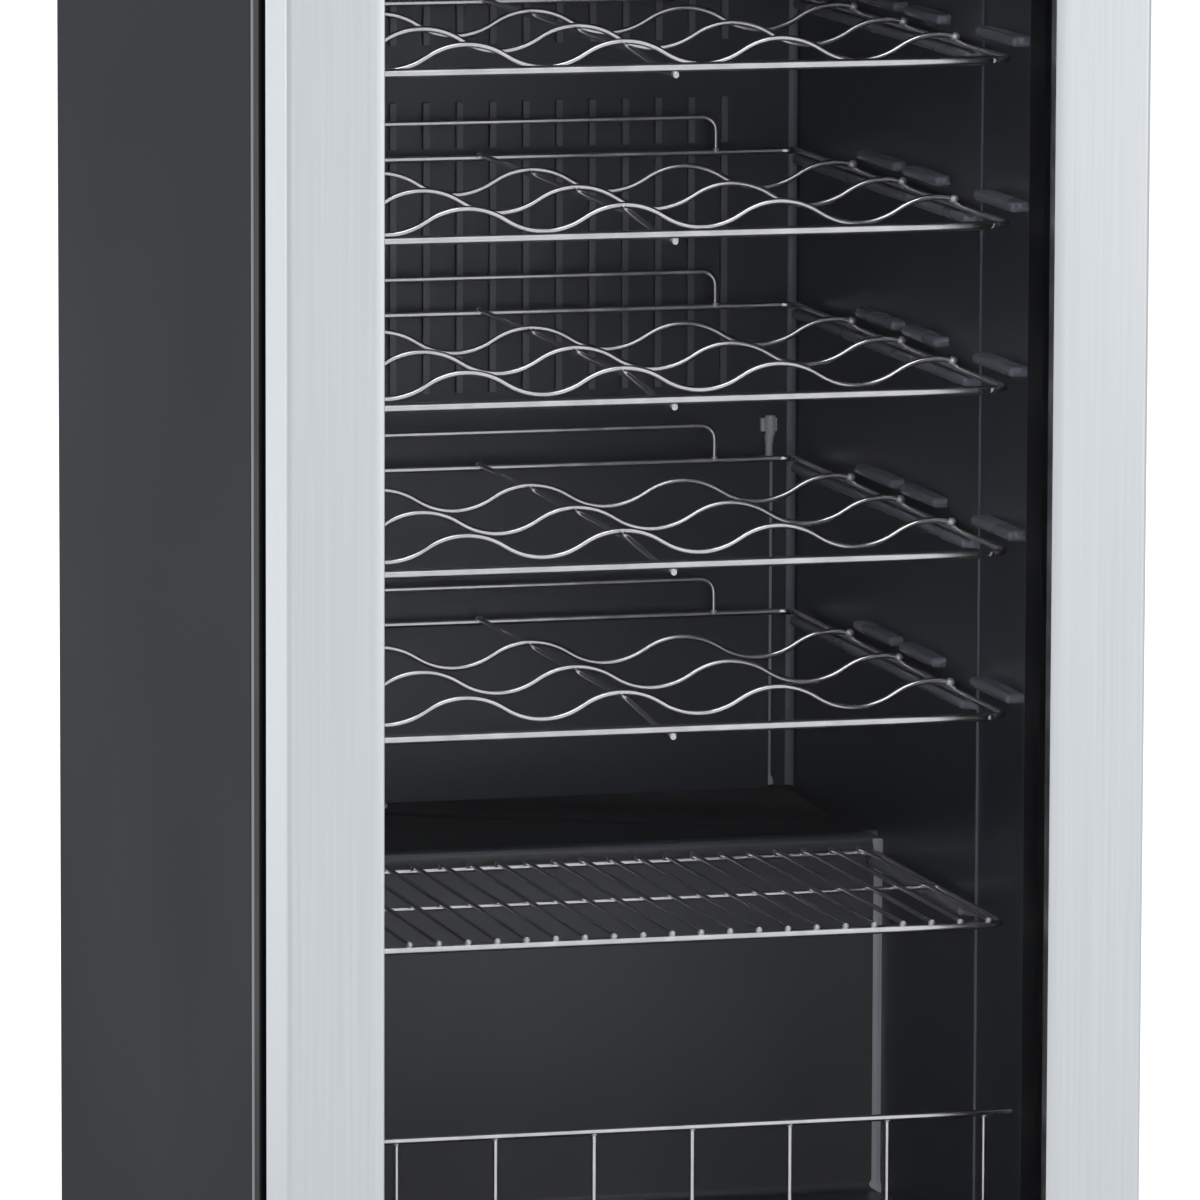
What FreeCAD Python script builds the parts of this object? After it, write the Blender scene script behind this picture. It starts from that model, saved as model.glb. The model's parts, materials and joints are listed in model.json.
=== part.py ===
"""Compressor wine cooler: insulated cabinet, framed glass door, sliding wavy wire racks.

Row frame: origin at the centre of the footprint on the floor, +Z up, the door faces -Y and +X is to
the right of someone looking at the door. Lengths are in millimetres.
"""
import FreeCAD, Part
import math
import os

V = FreeCAD.Vector

# ---- overall sizes -------------------------------------------------------------------------------
WIDTH = 500.0
DEPTH = 600.0
HEIGHT = 1200.0
DOOR_THICKNESS = 50.0
GASKET_DEPTH = 16.0
GASKET_SQUEEZE = 0.3
FOOT_HEIGHT = 24.0
HINGE_COVER_HEIGHT = 11.0
HINGE_PLATE = 3.0
REAR_SPACER = 14.0
SPACER_FROM_SIDE = 25.0
SPACER_FROM_TOP = 60.0
SPACER_RADII = (11.0, 8.0)

# ---- walls and cavity ----------------------------------------------------------------------------
SHEET = 1.0
BASE_SHEET = 2.0
BULKHEAD_SHEET = 1.5
LINER_WALL = 2.0
SIDE_WALL = 45.0
REAR_WALL = 32.0
TOP_WALL = 44.0
FLOOR_WALL = 57.0
HUMP_WALL = 35.5
TRIM_DEPTH = 21.0
HUMP_DEPTH = 185.0
HUMP_HEIGHT = 219.0
LINER_STEP = 1.5
LINER_STEP_FROM_TRIM = 90.0
REAR_PAD_FROM_WALL = 19.0
REAR_PAD_PROUD = 8.0
REAR_PAD_HEIGHT = 204.0

# ---- door ----------------------------------------------------------------------------------------
STILE = 56.0
DOOR_SKIN = 1.2
DOOR_TOP_GAP = 2.0
DOOR_BOTTOM_GAP = 3.0
GLASS_THICKNESS = 4.0
GLASS_REBATE = 10.0
GLASS_SPACE = 12.0
SPACER_WIDTH = 8.0
REBATE_PLAY = 1.0
GASKET_INSET = 16.0
GASKET_WIDTH = 18.0
GRIP_HEIGHT = 124.0
GRIP_WIDTH = 22.0
GRIP_REACH = 19.0
GRIP_WALL = 1.5
GRIP_FROM_TOP = 230.0

# ---- hinges --------------------------------------------------------------------------------------
HINGE_FROM_SIDE = 12.0
HINGE_FROM_INNER_FACE = 12.0
PIN_RADIUS = 4.0
PIN_REACH = 14.0
BUSH_RADIUS = 7.0
BUSH_FLANGE = 9.0
BUSH_FLANGE_THICKNESS = 1.6
RUNNING_CLEARANCE = 0.05
BRACKET_WIDTH = 25.0
BRACKET_INSET = 1.0
BRACKET_NOSE = 11.0
TOP_PLATE_BACK = 36.0
BOTTOM_PLATE_WIDTH = 65.0
COVER_WALL = 2.0
COVER_FILLET = 4.0
COVER_PLAY = 0.2
BOTTOM_PLATE_Z = 34.0
SCREW_HEAD_RADIUS = 4.0
PANEL_SCREW_INSET = 10.0
PANEL_SCREW_END = 30.0
PANEL_SCREW_ROWS = 4
TOP_SCREWS = (8.0, 26.0)
BOTTOM_SCREWS = (36.0, 56.0)
SCREW_HEAD_HEIGHT = 2.0

# ---- wire racks ----------------------------------------------------------------------------------
RACK_COUNT = 7
RACK_PITCH = 94.5
LOWEST_RACK_Z = 410.0
RACK_WALL_GAP = 6.0
RACK_FRONT_GAP = 13.0
RACK_REAR_GAP = 17.0
RAIL_END_GAP = 9.0
LOOP_END = 12.0
SUPPORT_DROP = 12.0
SUPPORT_FRONT = 26.0
WIRE_OVERLAP = 1.5
FRONT_RAIL_RADIUS = 2.75
LOOP_RADIUS = 2.0
WAVE_RADIUS = 1.75
LOOP_BEND = 10.0
LOOP_LIFT = 0.5
WAVE_COUNT = 3
WAVE_FIRST = 108.0
WAVE_SPACING = 103.0
WAVE_CREST_PITCH = 94.0
WAVE_END_INSET = 11.0
WAVE_AMPLITUDE = 7.0
WELD = 0.25
STOP_HALF_WIDTH = 148.0
STOP_HEIGHT = 22.0
STOP_BEND = 8.0
SUPPORT_BEND = 40.0

# ---- guides on the liner -------------------------------------------------------------------------
LEDGE_REACH = 10.0
LEDGE_HEIGHT = 6.0
SLIDE_GAP = 0.3
LUG_LIFT = 8.0
LUG_HEIGHT = 6.0
LUG_REACH = 9.0
LUG_SPANS = ((3.0, 74.0), (150.0, 69.0), (237.0, 76.0))
REAR_LUG_LENGTH = 20.0

# ---- flat shelf and fence ------------------------------------------------------------------------
SHELF_Z = 289.0
SHELF_RAIL_RADIUS = 2.5
SLAT_RADIUS = 1.5
SLAT_PITCH = 17.2
SLAT_END_GAP = 9.0
SHELF_HUMP_GAP = 8.0
FENCE_HEIGHT = 98.0
FENCE_RADIUS = 2.0
FENCE_BAR_RADIUS = 1.5
FENCE_PITCH = 58.3
FENCE_LAST_GAP = 20.0
FENCE_BAR_FROM_WALL = 17.5
FENCE_FOOT_OVERHANG = 6.0

# ---- air side ------------------------------------------------------------------------------------
DUCT_HALF_WIDTH = 160.0
DUCT_DEPTH = 9.0
DUCT_HEIGHT = 453.0
DUCT_FROM_TOP = 142.0
DUCT_SKIN = 2.0
RIB_COUNT = 16
RIB_HALF_SPAN = 156.0
RIB_WIDTH = 4.0
RIB_PROUD = 3.0
RIB_BANDS = ((450.0, 307.0), (301.0, 273.0), (238.0, 95.0), (89.0, 61.0), (40.0, 5.0))
FAN_FROM_TOP = 76.0
FAN_HOUSING_HALF = 52.0
FAN_HOUSING_DEPTH = 35.0
FAN_RADIUS = 42.0
FAN_HUB_RADIUS = 16.0
FAN_BLADES = 7
FAN_SHAFT_RADIUS = 2.0
HOUSING_SKIN = 2.0
HOUSING_FILLET = 6.0
GRILLE_SLOTS = 24
GRILLE_SLOT_HALF = 1.6
MOTOR_DEPTH = 12.0
IMPELLER_DEPTH = 12.0
IMPELLER_FROM_BACK = 25.0
BLADE_HALF = 5.0
BLADE_TWIST = 35.0
SHAFT_REACH = 23.0
PLATE_HALF_WIDTH = 172.0
PLATE_BOTTOM = 410.0
PLATE_TOP = 980.0
PLATE_THICKNESS = 1.2
POCKET_SIDE = 4.0
POCKET_BELOW = 12.0
LINE_PLAY = 1.0
NUT_PLAY_SIDE = 3.0
NUT_PLAY_TOP = 5.0
COIL_RADIUS = 3.5
COIL_HALF_WIDTH = 140.0
COIL_RUNS = 9
COIL_PITCH = 60.0
COIL_POCKET = 11.0
COIL_FROM_BOTTOM = 24.0
COIL_BEND = 10.0
COIL_TOP_DROP = 20.0
SENSOR_FROM_WALL = 18.0
SENSOR_Z = 524.0
SENSOR_RADIUS = 3.0
SENSOR_LENGTH = 12.0
SENSOR_STANDOFF = 5.0
SENSOR_CLIP_HALF = (5.0, 4.0)
SENSOR_CLIP_DEPTH = 3.0

# ---- controls ------------------------------------------------------------------------------------
CONTROL_HALF_WIDTH = 150.0
CONTROL_HEIGHT = 44.0
CONTROL_DEPTH = 120.0
CONTROL_FROM_TRIM = 18.0
FASCIA_THICKNESS = 2.0
PART_PLAY = 0.3
LENS_SETBACK = 50.0
BOARD_SETBACK = 8.0
BOARD_THICKNESS = 1.6
BOARD_HALF_WIDTH = 130.0
SWITCH_RADIUS = 3.0
SWITCH_LENGTH = 2.5
DISPLAY_BOX_HALF = (30.0, 8.0)
LED_COUNT = 8
LED_PITCH = 28.0
LED_SIZE = 5.0
LED_HEIGHT = 3.2
LIGHT_BOARD_INSET = 5.0
LIGHT_BOARD_DEPTH = 18.0
STEM_RADIUS = 2.0
STEM_LENGTH = 3.0
FLANGE_THICKNESS = 1.0
WINDOW_PLAY = 0.1
WINDOW_SUNK = 0.2
BUTTON_RADIUS = 5.0
BUTTON_PROUD = 1.5
BUTTON_CLEARANCE = 0.2
BUTTON_FLANGE = 6.5
BUTTON_X = (-110.0, -80.0, 80.0, 110.0)
DISPLAY_HALF_WIDTH = 34.0
DISPLAY_HEIGHT = 20.0
LENS_HALF_WIDTH = 120.0
LENS_DEPTH = 30.0
LENS_THICKNESS = 4.0

# ---- machine compartment -------------------------------------------------------------------------
COMPRESSOR_X = -70.0
COMPRESSOR_HALF_X = 80.0
COMPRESSOR_HALF_Y = 62.0
COMPRESSOR_HEIGHT = 118.0
COMPRESSOR_FILLET = 26.0
SEAM_SHARE = 0.45
SEAM_PROUD = 3.0
SEAM_HEIGHT = 5.0
FOOT_BAR_OVERHANG = 16.0
FOOT_BAR_HALF = 10.0
FOOT_BAR_HEIGHT = 9.0
TERMINAL_GAP = 3.3
TERMINAL_DEPTH = 34.0
TERMINAL_HALF = 28.0
TERMINAL_HEIGHT = 62.0
TERMINAL_RISE = 30.0
TERMINAL_FILLET = 4.0
GROMMET_HEIGHT = 18.0
GROMMET_RADIUS = 11.0
MOUNT_BAR = 3.0
MOUNT_SPACING_X = 60.0
MOUNT_SPACING_Y = 48.0
TRAY_WALL = 2.0
TRAY_HEIGHT = 34.0
TRAY_HALF_WIDTH = 78.0
TRAY_GAP = 8.0
DRAIN_RISE = 14.0
DRAIN_RIM = 4.0
DRAIN_RIM_THICKNESS = 1.5
DRAIN_RADIUS = 7.0
DRAIN_BORE = 5.0
DRAIN_FROM_BACK = 22.0
DRIER_RADIUS = 10.0
DRIER_LENGTH = 90.0
LINE_RADIUS = 3.5
CAPILLARY_RADIUS = 1.2
DRIER_OUT = 14.0
DRIER_FROM_BACK = 34.0
DRIER_FROM_ROOF = 144.5
DRIER_FILLET = 5.0
JOINT_DROP = 8.0
CAPILLARY_DROP = 26.0
CAPILLARY_BEND = 8.0
SUCTION_DROP = 30.0
SUCTION_STUB = 24.0
SUCTION_RISE = 40.0
SUCTION_BEND = 14.0
SUCTION_X = 110.0
CAPILLARY_X = 165.0
CONDENSER_RADIUS = 2.4
CONDENSER_HALF_WIDTH = 180.0
CONDENSER_PITCH = 50.0
CONDENSER_RUNS = 17
CONDENSER_BOTTOM = 290.0
CONDENSER_GAP = 7.0
CONDENSER_BEND = 12.0
CONDENSER_TAIL = 30.0
WIRE_OVERHANG = 8.0
CLIP_HALF_WIDTH = 8.0
CLIP_HALF_HEIGHT = 10.0
CLIP_FROM_SIDE = 25.0
DISCHARGE_OUT = 22.0
DISCHARGE_Z = 57.0
DISCHARGE_RISE = 60.0
WIRE_CLEARANCE = 0.05
CLIP_CLEARANCE = 0.2
WIRE_RADIUS = 0.8
WIRE_PITCH = 12.0
GLAND_RADIUS = 9.0
GLAND_FLANGE = 12.0
GLAND_BORE = 4.5
GLAND_FROM_SIDE = 50.0
GLAND_Z = 62.0
GLAND_TAB_INSET = 6.0
GLAND_TAB_HALF = 25.0
GLAND_TAB_RISE = 22.0
GLAND_SLEEVE = 12.0
GLAND_FLANGE_THICKNESS = 4.0

# ---- feet ----------------------------------------------------------------------------------------
FOOT_FROM_SIDE = 45.0
FRONT_FOOT_INSET = 54.0
REAR_FOOT_INSET = 36.0
FOOT_PAD_RADIUS = 16.0
FOOT_PAD_HEIGHT = 9.0
FOOT_PAD_TAPER = 3.0
FOOT_NUT_RADIUS = 7.0
FOOT_NUT_HEIGHT = 5.0
REAR_FOOT_RADII = (14.0, 18.0)
FOOT_STUD_RADIUS = 4.0
WELD_NUT_RADIUS = 8.0
WELD_NUT_HEIGHT = 7.0

# ---- places worked out from the sizes above ------------------------------------------------------
HALF = WIDTH / 2
DOOR_FRONT = -DEPTH / 2
DOOR_BACK = DOOR_FRONT + DOOR_THICKNESS
CABINET_FRONT = DOOR_BACK + GASKET_DEPTH
TRIM_BACK = CABINET_FRONT + TRIM_DEPTH
CABINET_BACK = DEPTH / 2 - REAR_SPACER
CABINET_TOP = HEIGHT - HINGE_COVER_HEIGHT - HINGE_PLATE
LINER_X = HALF - SIDE_WALL
LINER_BACK = CABINET_BACK - SHEET - REAR_WALL
LINER_TOP = CABINET_TOP - TOP_WALL
LINER_FLOOR = FOOT_HEIGHT + FLOOR_WALL
HUMP_FRONT = LINER_BACK - HUMP_DEPTH
HUMP_TOP = LINER_FLOOR + HUMP_HEIGHT
BULKHEAD_FRONT = HUMP_FRONT + HUMP_WALL
BULKHEAD_TOP = HUMP_TOP - HUMP_WALL
BASE_TOP = FOOT_HEIGHT + BASE_SHEET
DRIER_Z = BULKHEAD_TOP - DRIER_FROM_ROOF
STEP_Y = TRIM_BACK + LINER_STEP_FROM_TRIM

HINGE_X = HALF - HINGE_FROM_SIDE
HINGE_Y = DOOR_BACK - HINGE_FROM_INNER_FACE
DOOR_TOP = CABINET_TOP - DOOR_TOP_GAP
BOTTOM_PLATE_TOP = BOTTOM_PLATE_Z + HINGE_PLATE
DOOR_BOTTOM = BOTTOM_PLATE_TOP + DOOR_BOTTOM_GAP
OPEN_X = HALF - STILE
OPEN_BOTTOM = DOOR_BOTTOM + STILE
OPEN_TOP = DOOR_TOP - STILE

REAR_PAD_HALF = LINER_X - REAR_PAD_FROM_WALL
FOOT_X = HALF - FOOT_FROM_SIDE
GLAND_X = -HALF + GLAND_FROM_SIDE
SENSOR_X = LINER_X - SENSOR_FROM_WALL
FAN_Z = LINER_TOP - FAN_FROM_TOP
DUCT_TOP = LINER_TOP - DUCT_FROM_TOP
DUCT_BOTTOM = DUCT_TOP - DUCT_HEIGHT
RACK_X = LINER_X - RACK_WALL_GAP
SLAT_COUNT = 2 * int((RACK_X - SLAT_END_GAP) // SLAT_PITCH) + 1
FENCE_RIGHT_BAR = LINER_X - FENCE_BAR_FROM_WALL
FENCE_BARS = int((2 * FENCE_RIGHT_BAR - FENCE_LAST_GAP) // FENCE_PITCH) + 1
RACK_FRONT = TRIM_BACK + RACK_FRONT_GAP
RACK_REAR = LINER_BACK - RACK_REAR_GAP
CRESTS_PER_SIDE = max(1, round((RACK_X - WAVE_END_INSET) / WAVE_CREST_PITCH))
CREST_PITCH = (RACK_X - WAVE_END_INSET) / CRESTS_PER_SIDE
WAVE_BEND = ((CREST_PITCH / 4) ** 2 + WAVE_AMPLITUDE ** 2) / (2 * WAVE_AMPLITUDE)
WAVE_END_DROP = WAVE_BEND - math.sqrt(WAVE_BEND ** 2 - WAVE_END_INSET ** 2)
WAVE_CREST = LOOP_LIFT + LOOP_RADIUS + WAVE_RADIUS - WELD + WAVE_END_DROP

CONDENSER_Y = CABINET_BACK + CONDENSER_GAP
COMPRESSOR_Y = (BULKHEAD_FRONT + CABINET_BACK) / 2
COMPRESSOR_BASE = BASE_TOP + GROMMET_HEIGHT
COMPRESSOR_TOP = COMPRESSOR_BASE + MOUNT_BAR + COMPRESSOR_HEIGHT
CONTROL_FRONT = TRIM_BACK + CONTROL_FROM_TRIM
CONTROL_BOTTOM = LINER_TOP - CONTROL_HEIGHT
COIL_Y = LINER_BACK + LINER_WALL + PLATE_THICKNESS + COIL_RADIUS - WELD


# ---- helpers -------------------------------------------------------------------------------------
def block(x0, x1, y0, y1, z0, z1):
    return Part.makeBox(x1 - x0, y1 - y0, z1 - z0, V(x0, y0, z0))


def frame_ring(outer, inner, y0, y1):
    """A rectangular ring: outer and inner are (half width, bottom, top)."""
    solid = block(-outer[0], outer[0], y0, y1, outer[1], outer[2])
    hole = block(-inner[0], inner[0], y0 - 1, y1 + 1, inner[1], inner[2])
    return solid.cut(hole)


def rod(start, end, radius):
    start = V(*start)
    line = V(*end) - start
    return Part.makeCylinder(radius, line.Length, start, line)


def fuse(shapes):
    if len(shapes) == 1:
        return shapes[0]
    return shapes[0].multiFuse(shapes[1:])


def sweep(edges, radius):
    """A round bar along a path of tangent edges."""
    path = Part.Wire(edges)
    first = edges[0]
    tangent = first.tangentAt(first.FirstParameter)
    start = first.valueAt(first.FirstParameter)
    profile = Part.Wire([Part.Circle(start, tangent, radius).toShape()])
    return path.makePipeShell([profile], True, False)


def bent_edges(points, bend):
    """Straight runs through points, joined by arcs that are tangent to both runs."""
    points = [V(*p) for p in points]
    edges = []
    here = points[0]
    for before, corner, after in zip(points, points[1:], points[2:]):
        into = (corner - before).normalize()
        out = (after - corner).normalize()
        half_turn = into.getAngle(out) / 2
        cut = bend * math.tan(half_turn)
        arc_start = corner - into * cut
        arc_end = corner + out * cut
        inward = (out - into).normalize()
        middle = corner + inward * (bend / math.cos(half_turn) - bend)
        if (arc_start - here).Length > 0.01:
            edges.append(Part.LineSegment(here, arc_start).toShape())
        edges.append(Part.Arc(arc_start, middle, arc_end).toShape())
        here = arc_end
    edges.append(Part.LineSegment(here, points[-1]).toShape())
    return edges


def bent_rod(points, bend, radius):
    return sweep(bent_edges(points, bend), radius)


def save(name, shape):
    shape.exportStep("parts/" + name + ".step")


def mirror_x(shape):
    return shape.mirror(V(0, 0, 0), V(1, 0, 0))


# ---- cabinet -------------------------------------------------------------------------------------
def outer_cabinet():
    outside = block(-HALF, HALF, TRIM_BACK, CABINET_BACK, BASE_TOP, CABINET_TOP)
    inside = block(-HALF + SHEET, HALF - SHEET, TRIM_BACK - 1, CABINET_BACK + 1, BASE_TOP - 1,
                   CABINET_TOP - SHEET)
    return outside.cut(inside)


def back_panel():
    return block(-HALF + SHEET, HALF - SHEET, CABINET_BACK - SHEET, CABINET_BACK,
                 BULKHEAD_TOP + BULKHEAD_SHEET, CABINET_TOP - SHEET)


def base_plate():
    """Steel base with a weld nut over each front foot and a folded tab that holds the cord gland."""
    pieces = [block(-HALF, HALF, TRIM_BACK, CABINET_BACK, FOOT_HEIGHT, BASE_TOP)]
    holes = []
    for x in (-FOOT_X, FOOT_X):
        centre = V(x, CABINET_FRONT + FRONT_FOOT_INSET, FOOT_HEIGHT)
        pieces.append(prism(6, WELD_NUT_RADIUS, BASE_SHEET + WELD_NUT_HEIGHT, centre))
        holes.append(Part.makeCylinder(FOOT_STUD_RADIUS + RUNNING_CLEARANCE, 2 * WELD_NUT_HEIGHT, centre))
    y = CABINET_BACK - GLAND_TAB_INSET
    pieces.append(block(GLAND_X - GLAND_TAB_HALF, GLAND_X + GLAND_TAB_HALF, y, y + BASE_SHEET,
                        FOOT_HEIGHT, GLAND_Z + GLAND_TAB_RISE))
    gland_start = V(GLAND_X, y - BASE_SHEET, GLAND_Z)
    holes.append(Part.makeCylinder(GLAND_RADIUS, 4 * BASE_SHEET, gland_start, V(0, 1, 0)))
    return fuse(pieces).cut(holes).removeSplitter()


def front_trim():
    return frame_ring((HALF, FOOT_HEIGHT, CABINET_TOP), (LINER_X, LINER_FLOOR, LINER_TOP), CABINET_FRONT,
                      TRIM_BACK)


def liner_volume(grow):
    """The cavity of the liner, grown outwards by a wall thickness, without its guides."""
    low = LINER_FLOOR - grow
    high = LINER_TOP + grow
    rear = block(-LINER_X - grow, LINER_X + grow, TRIM_BACK, LINER_BACK + grow, low, high)
    front = block(-LINER_X - LINER_STEP - grow, LINER_X + LINER_STEP + grow, TRIM_BACK, STEP_Y + grow,
                  low, high)
    hump = block(-LINER_X - 2 * LINER_STEP - 2 * grow, LINER_X + 2 * LINER_STEP + 2 * grow,
                 HUMP_FRONT + grow, LINER_BACK + 2 * grow, low - 1, HUMP_TOP - grow)
    return rear.fuse(front).cut(hump)


def guide_pair(level):
    """The ledge under one side rail and the lugs above it, on the right-hand wall."""
    top = level + LOOP_LIFT - LOOP_RADIUS - SLIDE_GAP
    overlap = LINER_X + LINER_WALL / 2
    pieces = [block(LINER_X - LEDGE_REACH, overlap, STEP_Y, LINER_BACK - REAR_LUG_LENGTH,
                    top - LEDGE_HEIGHT, top)]
    low = level + LUG_LIFT
    for start, length in LUG_SPANS:
        y = TRIM_BACK + start
        wall = overlap + LINER_STEP if y < STEP_Y else overlap
        pieces.append(block(LINER_X - LUG_REACH, wall, y, y + length, low, low + LUG_HEIGHT))
    return pieces


def inner_liner():
    shell = liner_volume(LINER_WALL).cut(liner_volume(0))
    pad = block(-REAR_PAD_HALF, REAR_PAD_HALF, LINER_BACK - REAR_PAD_PROUD, LINER_BACK + 1,
                HUMP_TOP - 1, HUMP_TOP + REAR_PAD_HEIGHT)
    extra = [pad]
    for level in rack_levels():
        for piece in guide_pair(level):
            extra.append(piece)
            extra.append(mirror_x(piece))
    ledge_top = SHELF_Z - SHELF_RAIL_RADIUS - SLIDE_GAP
    ledge = block(LINER_X - LEDGE_REACH, LINER_X + 1, STEP_Y, HUMP_FRONT - 1,
                  ledge_top - LEDGE_HEIGHT, ledge_top)
    extra.append(ledge)
    extra.append(mirror_x(ledge))
    shell = shell.multiFuse(extra)
    hole = Part.makeCylinder(DRAIN_RADIUS + SLIDE_GAP, 4 * LINER_WALL, drain_top(-2 * LINER_WALL))
    return shell.cut(hole).removeSplitter()


def drain_top(lift):
    return V(COMPRESSOR_X, LINER_BACK - DRAIN_FROM_BACK, HUMP_TOP + lift)


def line_channel(x, radius):
    return Part.makeCylinder(radius, PLATE_BOTTOM - BULKHEAD_TOP, V(x, COIL_Y, BULKHEAD_TOP))


def insulation_foam():
    body = block(-HALF + SHEET, HALF - SHEET, TRIM_BACK, CABINET_BACK - SHEET, BASE_TOP,
                 CABINET_TOP - SHEET)
    machine_room = block(-HALF, HALF, BULKHEAD_FRONT, CABINET_BACK, BASE_TOP - 1,
                         BULKHEAD_TOP + BULKHEAD_SHEET)
    pocket_half = PLATE_HALF_WIDTH + POCKET_SIDE
    pocket = block(-pocket_half, pocket_half, LINER_BACK, LINER_BACK + LINER_WALL + COIL_POCKET,
                   PLATE_BOTTOM - POCKET_BELOW, PLATE_TOP + POCKET_SIDE)
    filled = block(-LINER_X, LINER_X, TRIM_BACK, LINER_BACK + LINER_WALL, LINER_FLOOR, LINER_TOP)
    filled = filled.cut(block(-HALF, HALF, HUMP_FRONT + LINER_WALL, LINER_BACK + 10, 0,
                              HUMP_TOP - LINER_WALL))
    cuts = [machine_room, pocket, liner_volume(LINER_WALL), filled]
    cuts.append(Part.makeCylinder(DRAIN_RADIUS + SLIDE_GAP, HUMP_WALL + 2, drain_top(-HUMP_WALL - 1)))
    cuts.append(line_channel(SUCTION_X, LINE_RADIUS + LINE_PLAY))
    cuts.append(line_channel(CAPILLARY_X, LINE_RADIUS + LINE_PLAY))
    for x in (-FOOT_X, FOOT_X):
        cuts.append(Part.makeCylinder(WELD_NUT_RADIUS + NUT_PLAY_SIDE, WELD_NUT_HEIGHT + NUT_PLAY_TOP,
                                      V(x, CABINET_FRONT + FRONT_FOOT_INSET, BASE_TOP)))
    return body.cut(cuts)


def compressor_bulkhead():
    wall = block(-HALF + SHEET, HALF - SHEET, BULKHEAD_FRONT, BULKHEAD_FRONT + BULKHEAD_SHEET, BASE_TOP,
                 BULKHEAD_TOP)
    roof = block(-HALF + SHEET, HALF - SHEET, BULKHEAD_FRONT, CABINET_BACK, BULKHEAD_TOP,
                 BULKHEAD_TOP + BULKHEAD_SHEET)
    sheet = wall.fuse(roof)
    holes = [Part.makeCylinder(DRAIN_RADIUS + SLIDE_GAP, 4 * BULKHEAD_SHEET,
                               drain_top(-HUMP_WALL - 2 * BULKHEAD_SHEET))]
    for x in (SUCTION_X, CAPILLARY_X):
        below = V(x, COIL_Y, BULKHEAD_TOP - BULKHEAD_SHEET)
        holes.append(Part.makeCylinder(LINE_RADIUS + LINE_PLAY, 4 * BULKHEAD_SHEET, below))
    return sheet.cut(holes).removeSplitter()


def back_panel_screws():
    screws = []
    low = BULKHEAD_TOP + PANEL_SCREW_END
    pitch = (CABINET_TOP - PANEL_SCREW_END - low) / (PANEL_SCREW_ROWS - 1)
    for x in (-HALF + PANEL_SCREW_INSET, HALF - PANEL_SCREW_INSET):
        for z in [low + pitch * row for row in range(PANEL_SCREW_ROWS)]:
            screws.append(Part.makeCylinder(SCREW_HEAD_RADIUS, SCREW_HEAD_HEIGHT, V(x, CABINET_BACK, z),
                                            V(0, 1, 0)))
    return screws


def wall_spacers():
    spacers = []
    root, tip = SPACER_RADII
    for x in (-HALF + SPACER_FROM_SIDE, HALF - SPACER_FROM_SIDE):
        place = V(x, CABINET_BACK, CABINET_TOP - SPACER_FROM_TOP)
        spacers.append(Part.makeCone(root, tip, REAR_SPACER, place, V(0, 1, 0)))
    return Part.makeCompound(spacers)


# ---- feet ----------------------------------------------------------------------------------------
def front_foot(x):
    y = CABINET_FRONT + FRONT_FOOT_INSET
    pad = Part.makeCone(FOOT_PAD_RADIUS, FOOT_PAD_RADIUS - FOOT_PAD_TAPER, FOOT_PAD_HEIGHT, V(x, y, 0))
    stud = Part.makeCylinder(FOOT_STUD_RADIUS, FOOT_HEIGHT + BASE_SHEET + WELD_NUT_HEIGHT, V(x, y, 0))
    nut = prism(6, FOOT_NUT_RADIUS, FOOT_NUT_HEIGHT, V(x, y, FOOT_PAD_HEIGHT - 2 * WELD))
    return fuse([pad, stud, nut])


def prism(sides, radius, height, centre):
    points = []
    for i in range(sides + 1):
        angle = 2 * math.pi * i / sides
        points.append(centre + V(radius * math.cos(angle), radius * math.sin(angle), 0))
    return Part.Face(Part.makePolygon(points)).extrude(V(0, 0, height))


def rear_feet():
    feet = []
    for x in (-FOOT_X, FOOT_X):
        centre = V(x, CABINET_BACK - REAR_FOOT_INSET, 0)
        feet.append(Part.makeCone(REAR_FOOT_RADII[0], REAR_FOOT_RADII[1], FOOT_HEIGHT, centre))
    return Part.makeCompound(feet)


# ---- door ----------------------------------------------------------------------------------------
def bush_pockets():
    depth = PIN_REACH + 2
    radius = BUSH_RADIUS + RUNNING_CLEARANCE
    low = Part.makeCylinder(radius, depth, V(HINGE_X, HINGE_Y, DOOR_BOTTOM))
    high = Part.makeCylinder(radius, depth, V(HINGE_X, HINGE_Y, DOOR_TOP - depth))
    return [low, high]


def grip_zone(grow):
    top = DOOR_TOP - GRIP_FROM_TOP + GRIP_HEIGHT / 2
    middle = (DOOR_FRONT + DOOR_BACK) / 2
    return block(-HALF - 1, -HALF + GRIP_REACH + grow, middle - GRIP_WIDTH / 2 - grow,
                 middle + GRIP_WIDTH / 2 + grow,
                 top - GRIP_HEIGHT - grow, top + grow)


def door_frame():
    """Folded stainless skin: a flat face round the glass and four edges folded back."""
    outside = block(-HALF, HALF, DOOR_FRONT, DOOR_BACK, DOOR_BOTTOM, DOOR_TOP)
    inside = block(-HALF + DOOR_SKIN, HALF - DOOR_SKIN, DOOR_FRONT + DOOR_SKIN, DOOR_BACK + 1,
                   DOOR_BOTTOM + DOOR_SKIN, DOOR_TOP - DOOR_SKIN)
    window = block(-OPEN_X, OPEN_X, DOOR_FRONT - 1, DOOR_BACK, OPEN_BOTTOM, OPEN_TOP)
    skin = outside.cut([inside, window, grip_zone(0)])
    return skin.cut(bush_pockets())


def glass_box(inset):
    """Half width, bottom and top of something that sits in the glass rebate, inset from its edge."""
    grow = GLASS_REBATE - inset
    return (OPEN_X + grow, OPEN_BOTTOM - grow, OPEN_TOP + grow)


def glass_planes():
    outer = DOOR_FRONT + DOOR_SKIN + SLIDE_GAP
    inner = outer + GLASS_THICKNESS + GLASS_SPACE
    return outer, inner


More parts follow.
